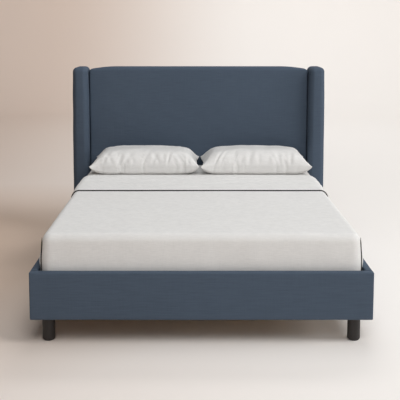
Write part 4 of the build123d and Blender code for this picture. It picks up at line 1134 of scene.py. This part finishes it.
class BED_OT_stage(Operator):
    """Lays a pale seamless floor that turns up all round, and sets the lights and the camera"""

    bl_idname = "bed.stage"
    bl_label = "Stage"

    # Name, place, aim, side of the square and power in watts of each soft white light
    lights = (
        ("key_light", (6.4, -3.8, 7.8), (0.1, 0.1, 0.5), 4.0, 380),
        ("top_light", (0.4, 0.0, 5.2), (0.0, 0.0, 0.3), 3.0, 48),
        ("front_light", (-0.8, -6.8, 3.2), (0, 0, 0.6), 3.0, 36),
        ("fore_light", (0.4, -5.6, 5.6), (0, -1.8, 0), 3.0, 134),
        ("graze_light", (8.0, -0.9, 2.8), (0.0, 0.5, 0.8), 1.8, 140),
        ("wall_light", (1.6, 6.6, 8.5), (1.2, 10.5, 0.5), 5.0, 500),
    )
    air = 0.085

    def execute(self, context):
        self.lay_floor()
        self.set_lights(bpy.context.scene)
        self.set_camera(bpy.context.scene)
        return {"FINISHED"}

    def lay_floor(self):
        """A bowl: flat out to reach, then a quarter turn of radius sweep, and upright to height."""
        reach, sweep, height, rings, columns = 9.5, 3.0, 4.5, 26, 96
        angle = np.linspace(0, np.pi / 2, 15)[1:]
        radius = np.concatenate((np.linspace(0, reach, rings), reach + sweep * np.sin(angle), (reach + sweep,)))
        level = np.concatenate((np.zeros(rings), sweep * (1 - np.cos(angle)), (height,)))
        around = np.linspace(0, 2 * np.pi, columns, endpoint=False)
        grid = np.stack((radius[:, None] * np.cos(around), radius[:, None] * np.sin(around),
                         np.repeat(level[:, None], columns, axis=1)), axis=-1)
        floor = new_piece("studio_floor", [(grid, True)], (0, 0, -20))
        # Matt background paper with painted shade: a little warmer and darker on the side away from the light
        material, tree, at = new_material("seamless_paper")
        place = add_node(tree, "ShaderNodeSeparateXYZ", links={"Vector": at}).outputs["X"]
        share = add_node(tree, "ShaderNodeMapRange", {"From Min": -3.0, "From Max": 1.4},
                         {"Value": place}, interpolation_type="SMOOTHSTEP").outputs["Result"]
        tint = ramp(tree, share, ((0.0, tuple(colours().shaded_floor)), (1.0, tuple(colours().floor))))
        # and a painted shadow beside the bed, darker and warmer, standing for the bed's shadow filled by light
        # bounced off the room's walls
        beside = add_node(tree, "ShaderNodeMapping", {"Location": (-1.5, 0.6, 0), "Scale": (1.9, 2.4, 1)},
                          {"Vector": at}, vector_type="TEXTURE").outputs["Vector"]
        close_by = add_node(tree, "ShaderNodeTexGradient", links={"Vector": beside}, gradient_type="SPHERICAL")
        painted_shadow = ramp(tree, close_by.outputs["Fac"], ((0.0, (1, 1, 1)), (0.65, linear("#ece0d5"))))
        tint = add_node(tree, "ShaderNodeMix", {"Factor": 1.0}, {6: tint, 7: painted_shadow}, data_type="RGBA",
                        blend_type="MULTIPLY").outputs[2]
        fibre = noise(tree, at, (60, 60, 60), 3, 0.6)
        surfaced(tree, tint, fibre, 0.05, 0.0005, {"Roughness": 0.95, "Specular IOR Level": 0.1})
        floor.data.materials.append(material)

    def set_lights(self, scene):
        """Square lights that face their aims, and a faint even light from all round."""
        for name, place, aim, size, power in self.lights:
            data = bpy.data.lights.new(name, "AREA")
            data.shape, data.size, data.energy = "SQUARE", size, power
            light = bpy.data.objects.new(name, data)
            light.location = place
            way = np.array(aim) - np.array(place)
            pitch = math.atan2(-way[2], math.hypot(way[0], way[1]))
            light.rotation_euler = (math.pi / 2 - pitch, 0, math.atan2(way[1], way[0]) - math.pi / 2)
            scene.collection.objects.link(light)
        world = bpy.data.worlds.new("studio_air")
        world.use_nodes = True
        air = world.node_tree.nodes["Background"]
        air.inputs["Color"].default_value = (1, 1, 1, 1)
        air.inputs["Strength"].default_value = self.air
        scene.world = world
        scene.view_settings.view_transform = "Standard"

    def set_camera(self, scene):
        """A long lens before the foot of the bed, tilted down by pitch and shifted as the photo's edges ask."""
        pitch = 6.5
        data = bpy.data.cameras.new("camera")
        data.sensor_width, data.lens = 36, 73.63
        data.shift_x, data.shift_y = 0.0179, -0.1985
        data.clip_end = 60
        camera = bpy.data.objects.new("camera", data)
        camera.location = (-0.0410, -4.8737, 1.5111)
        camera.rotation_euler = (math.radians(90 - pitch), 0, 0)
        scene.collection.objects.link(camera)
        scene.camera = camera


class BED_PT_panel(Panel):
    """Lists the bed's operators with its sizes and colours"""

    bl_idname = "BED_PT_panel"
    bl_label = "Wingback Bed"
    bl_space_type = "VIEW_3D"
    bl_region_type = "UI"
    bl_category = "Bed"

    def draw(self, context):
        for step in steps:
            self.layout.operator(step.bl_idname)
        for group in (context.scene.bed_sizes, context.scene.bed_colours):
            column = self.layout.column()
            for name in group.__annotations__:
                column.prop(group, name)


steps = (
    BED_OT_frame_finishes,
    BED_OT_headboard,
    BED_OT_wings,
    BED_OT_rails,
    BED_OT_underside_cloth,
    BED_OT_mattress,
    BED_OT_fitted_sheet,
    BED_OT_flat_sheet,
    BED_OT_piping,
    BED_OT_pillows,
    BED_OT_stage,
)
classes = (BedColours, BedSizes, *steps, BED_PT_panel)


def register():
    """Registers the classes and hangs the two groups of properties on the scene."""
    for item in classes:
        bpy.utils.register_class(item)
    bpy.types.Scene.bed_colours = PointerProperty(type=BedColours)
    bpy.types.Scene.bed_sizes = PointerProperty(type=BedSizes)


def unregister():
    """Takes the groups and classes away again."""
    del bpy.types.Scene.bed_sizes
    del bpy.types.Scene.bed_colours
    for item in reversed(classes):
        bpy.utils.unregister_class(item)


def main():
    """Builds the bed piece by piece."""
    register()
    for step in steps:
        group, name = step.bl_idname.split(".")
        getattr(getattr(bpy.ops, group), name)()


if __name__ == "__main__":
    main()
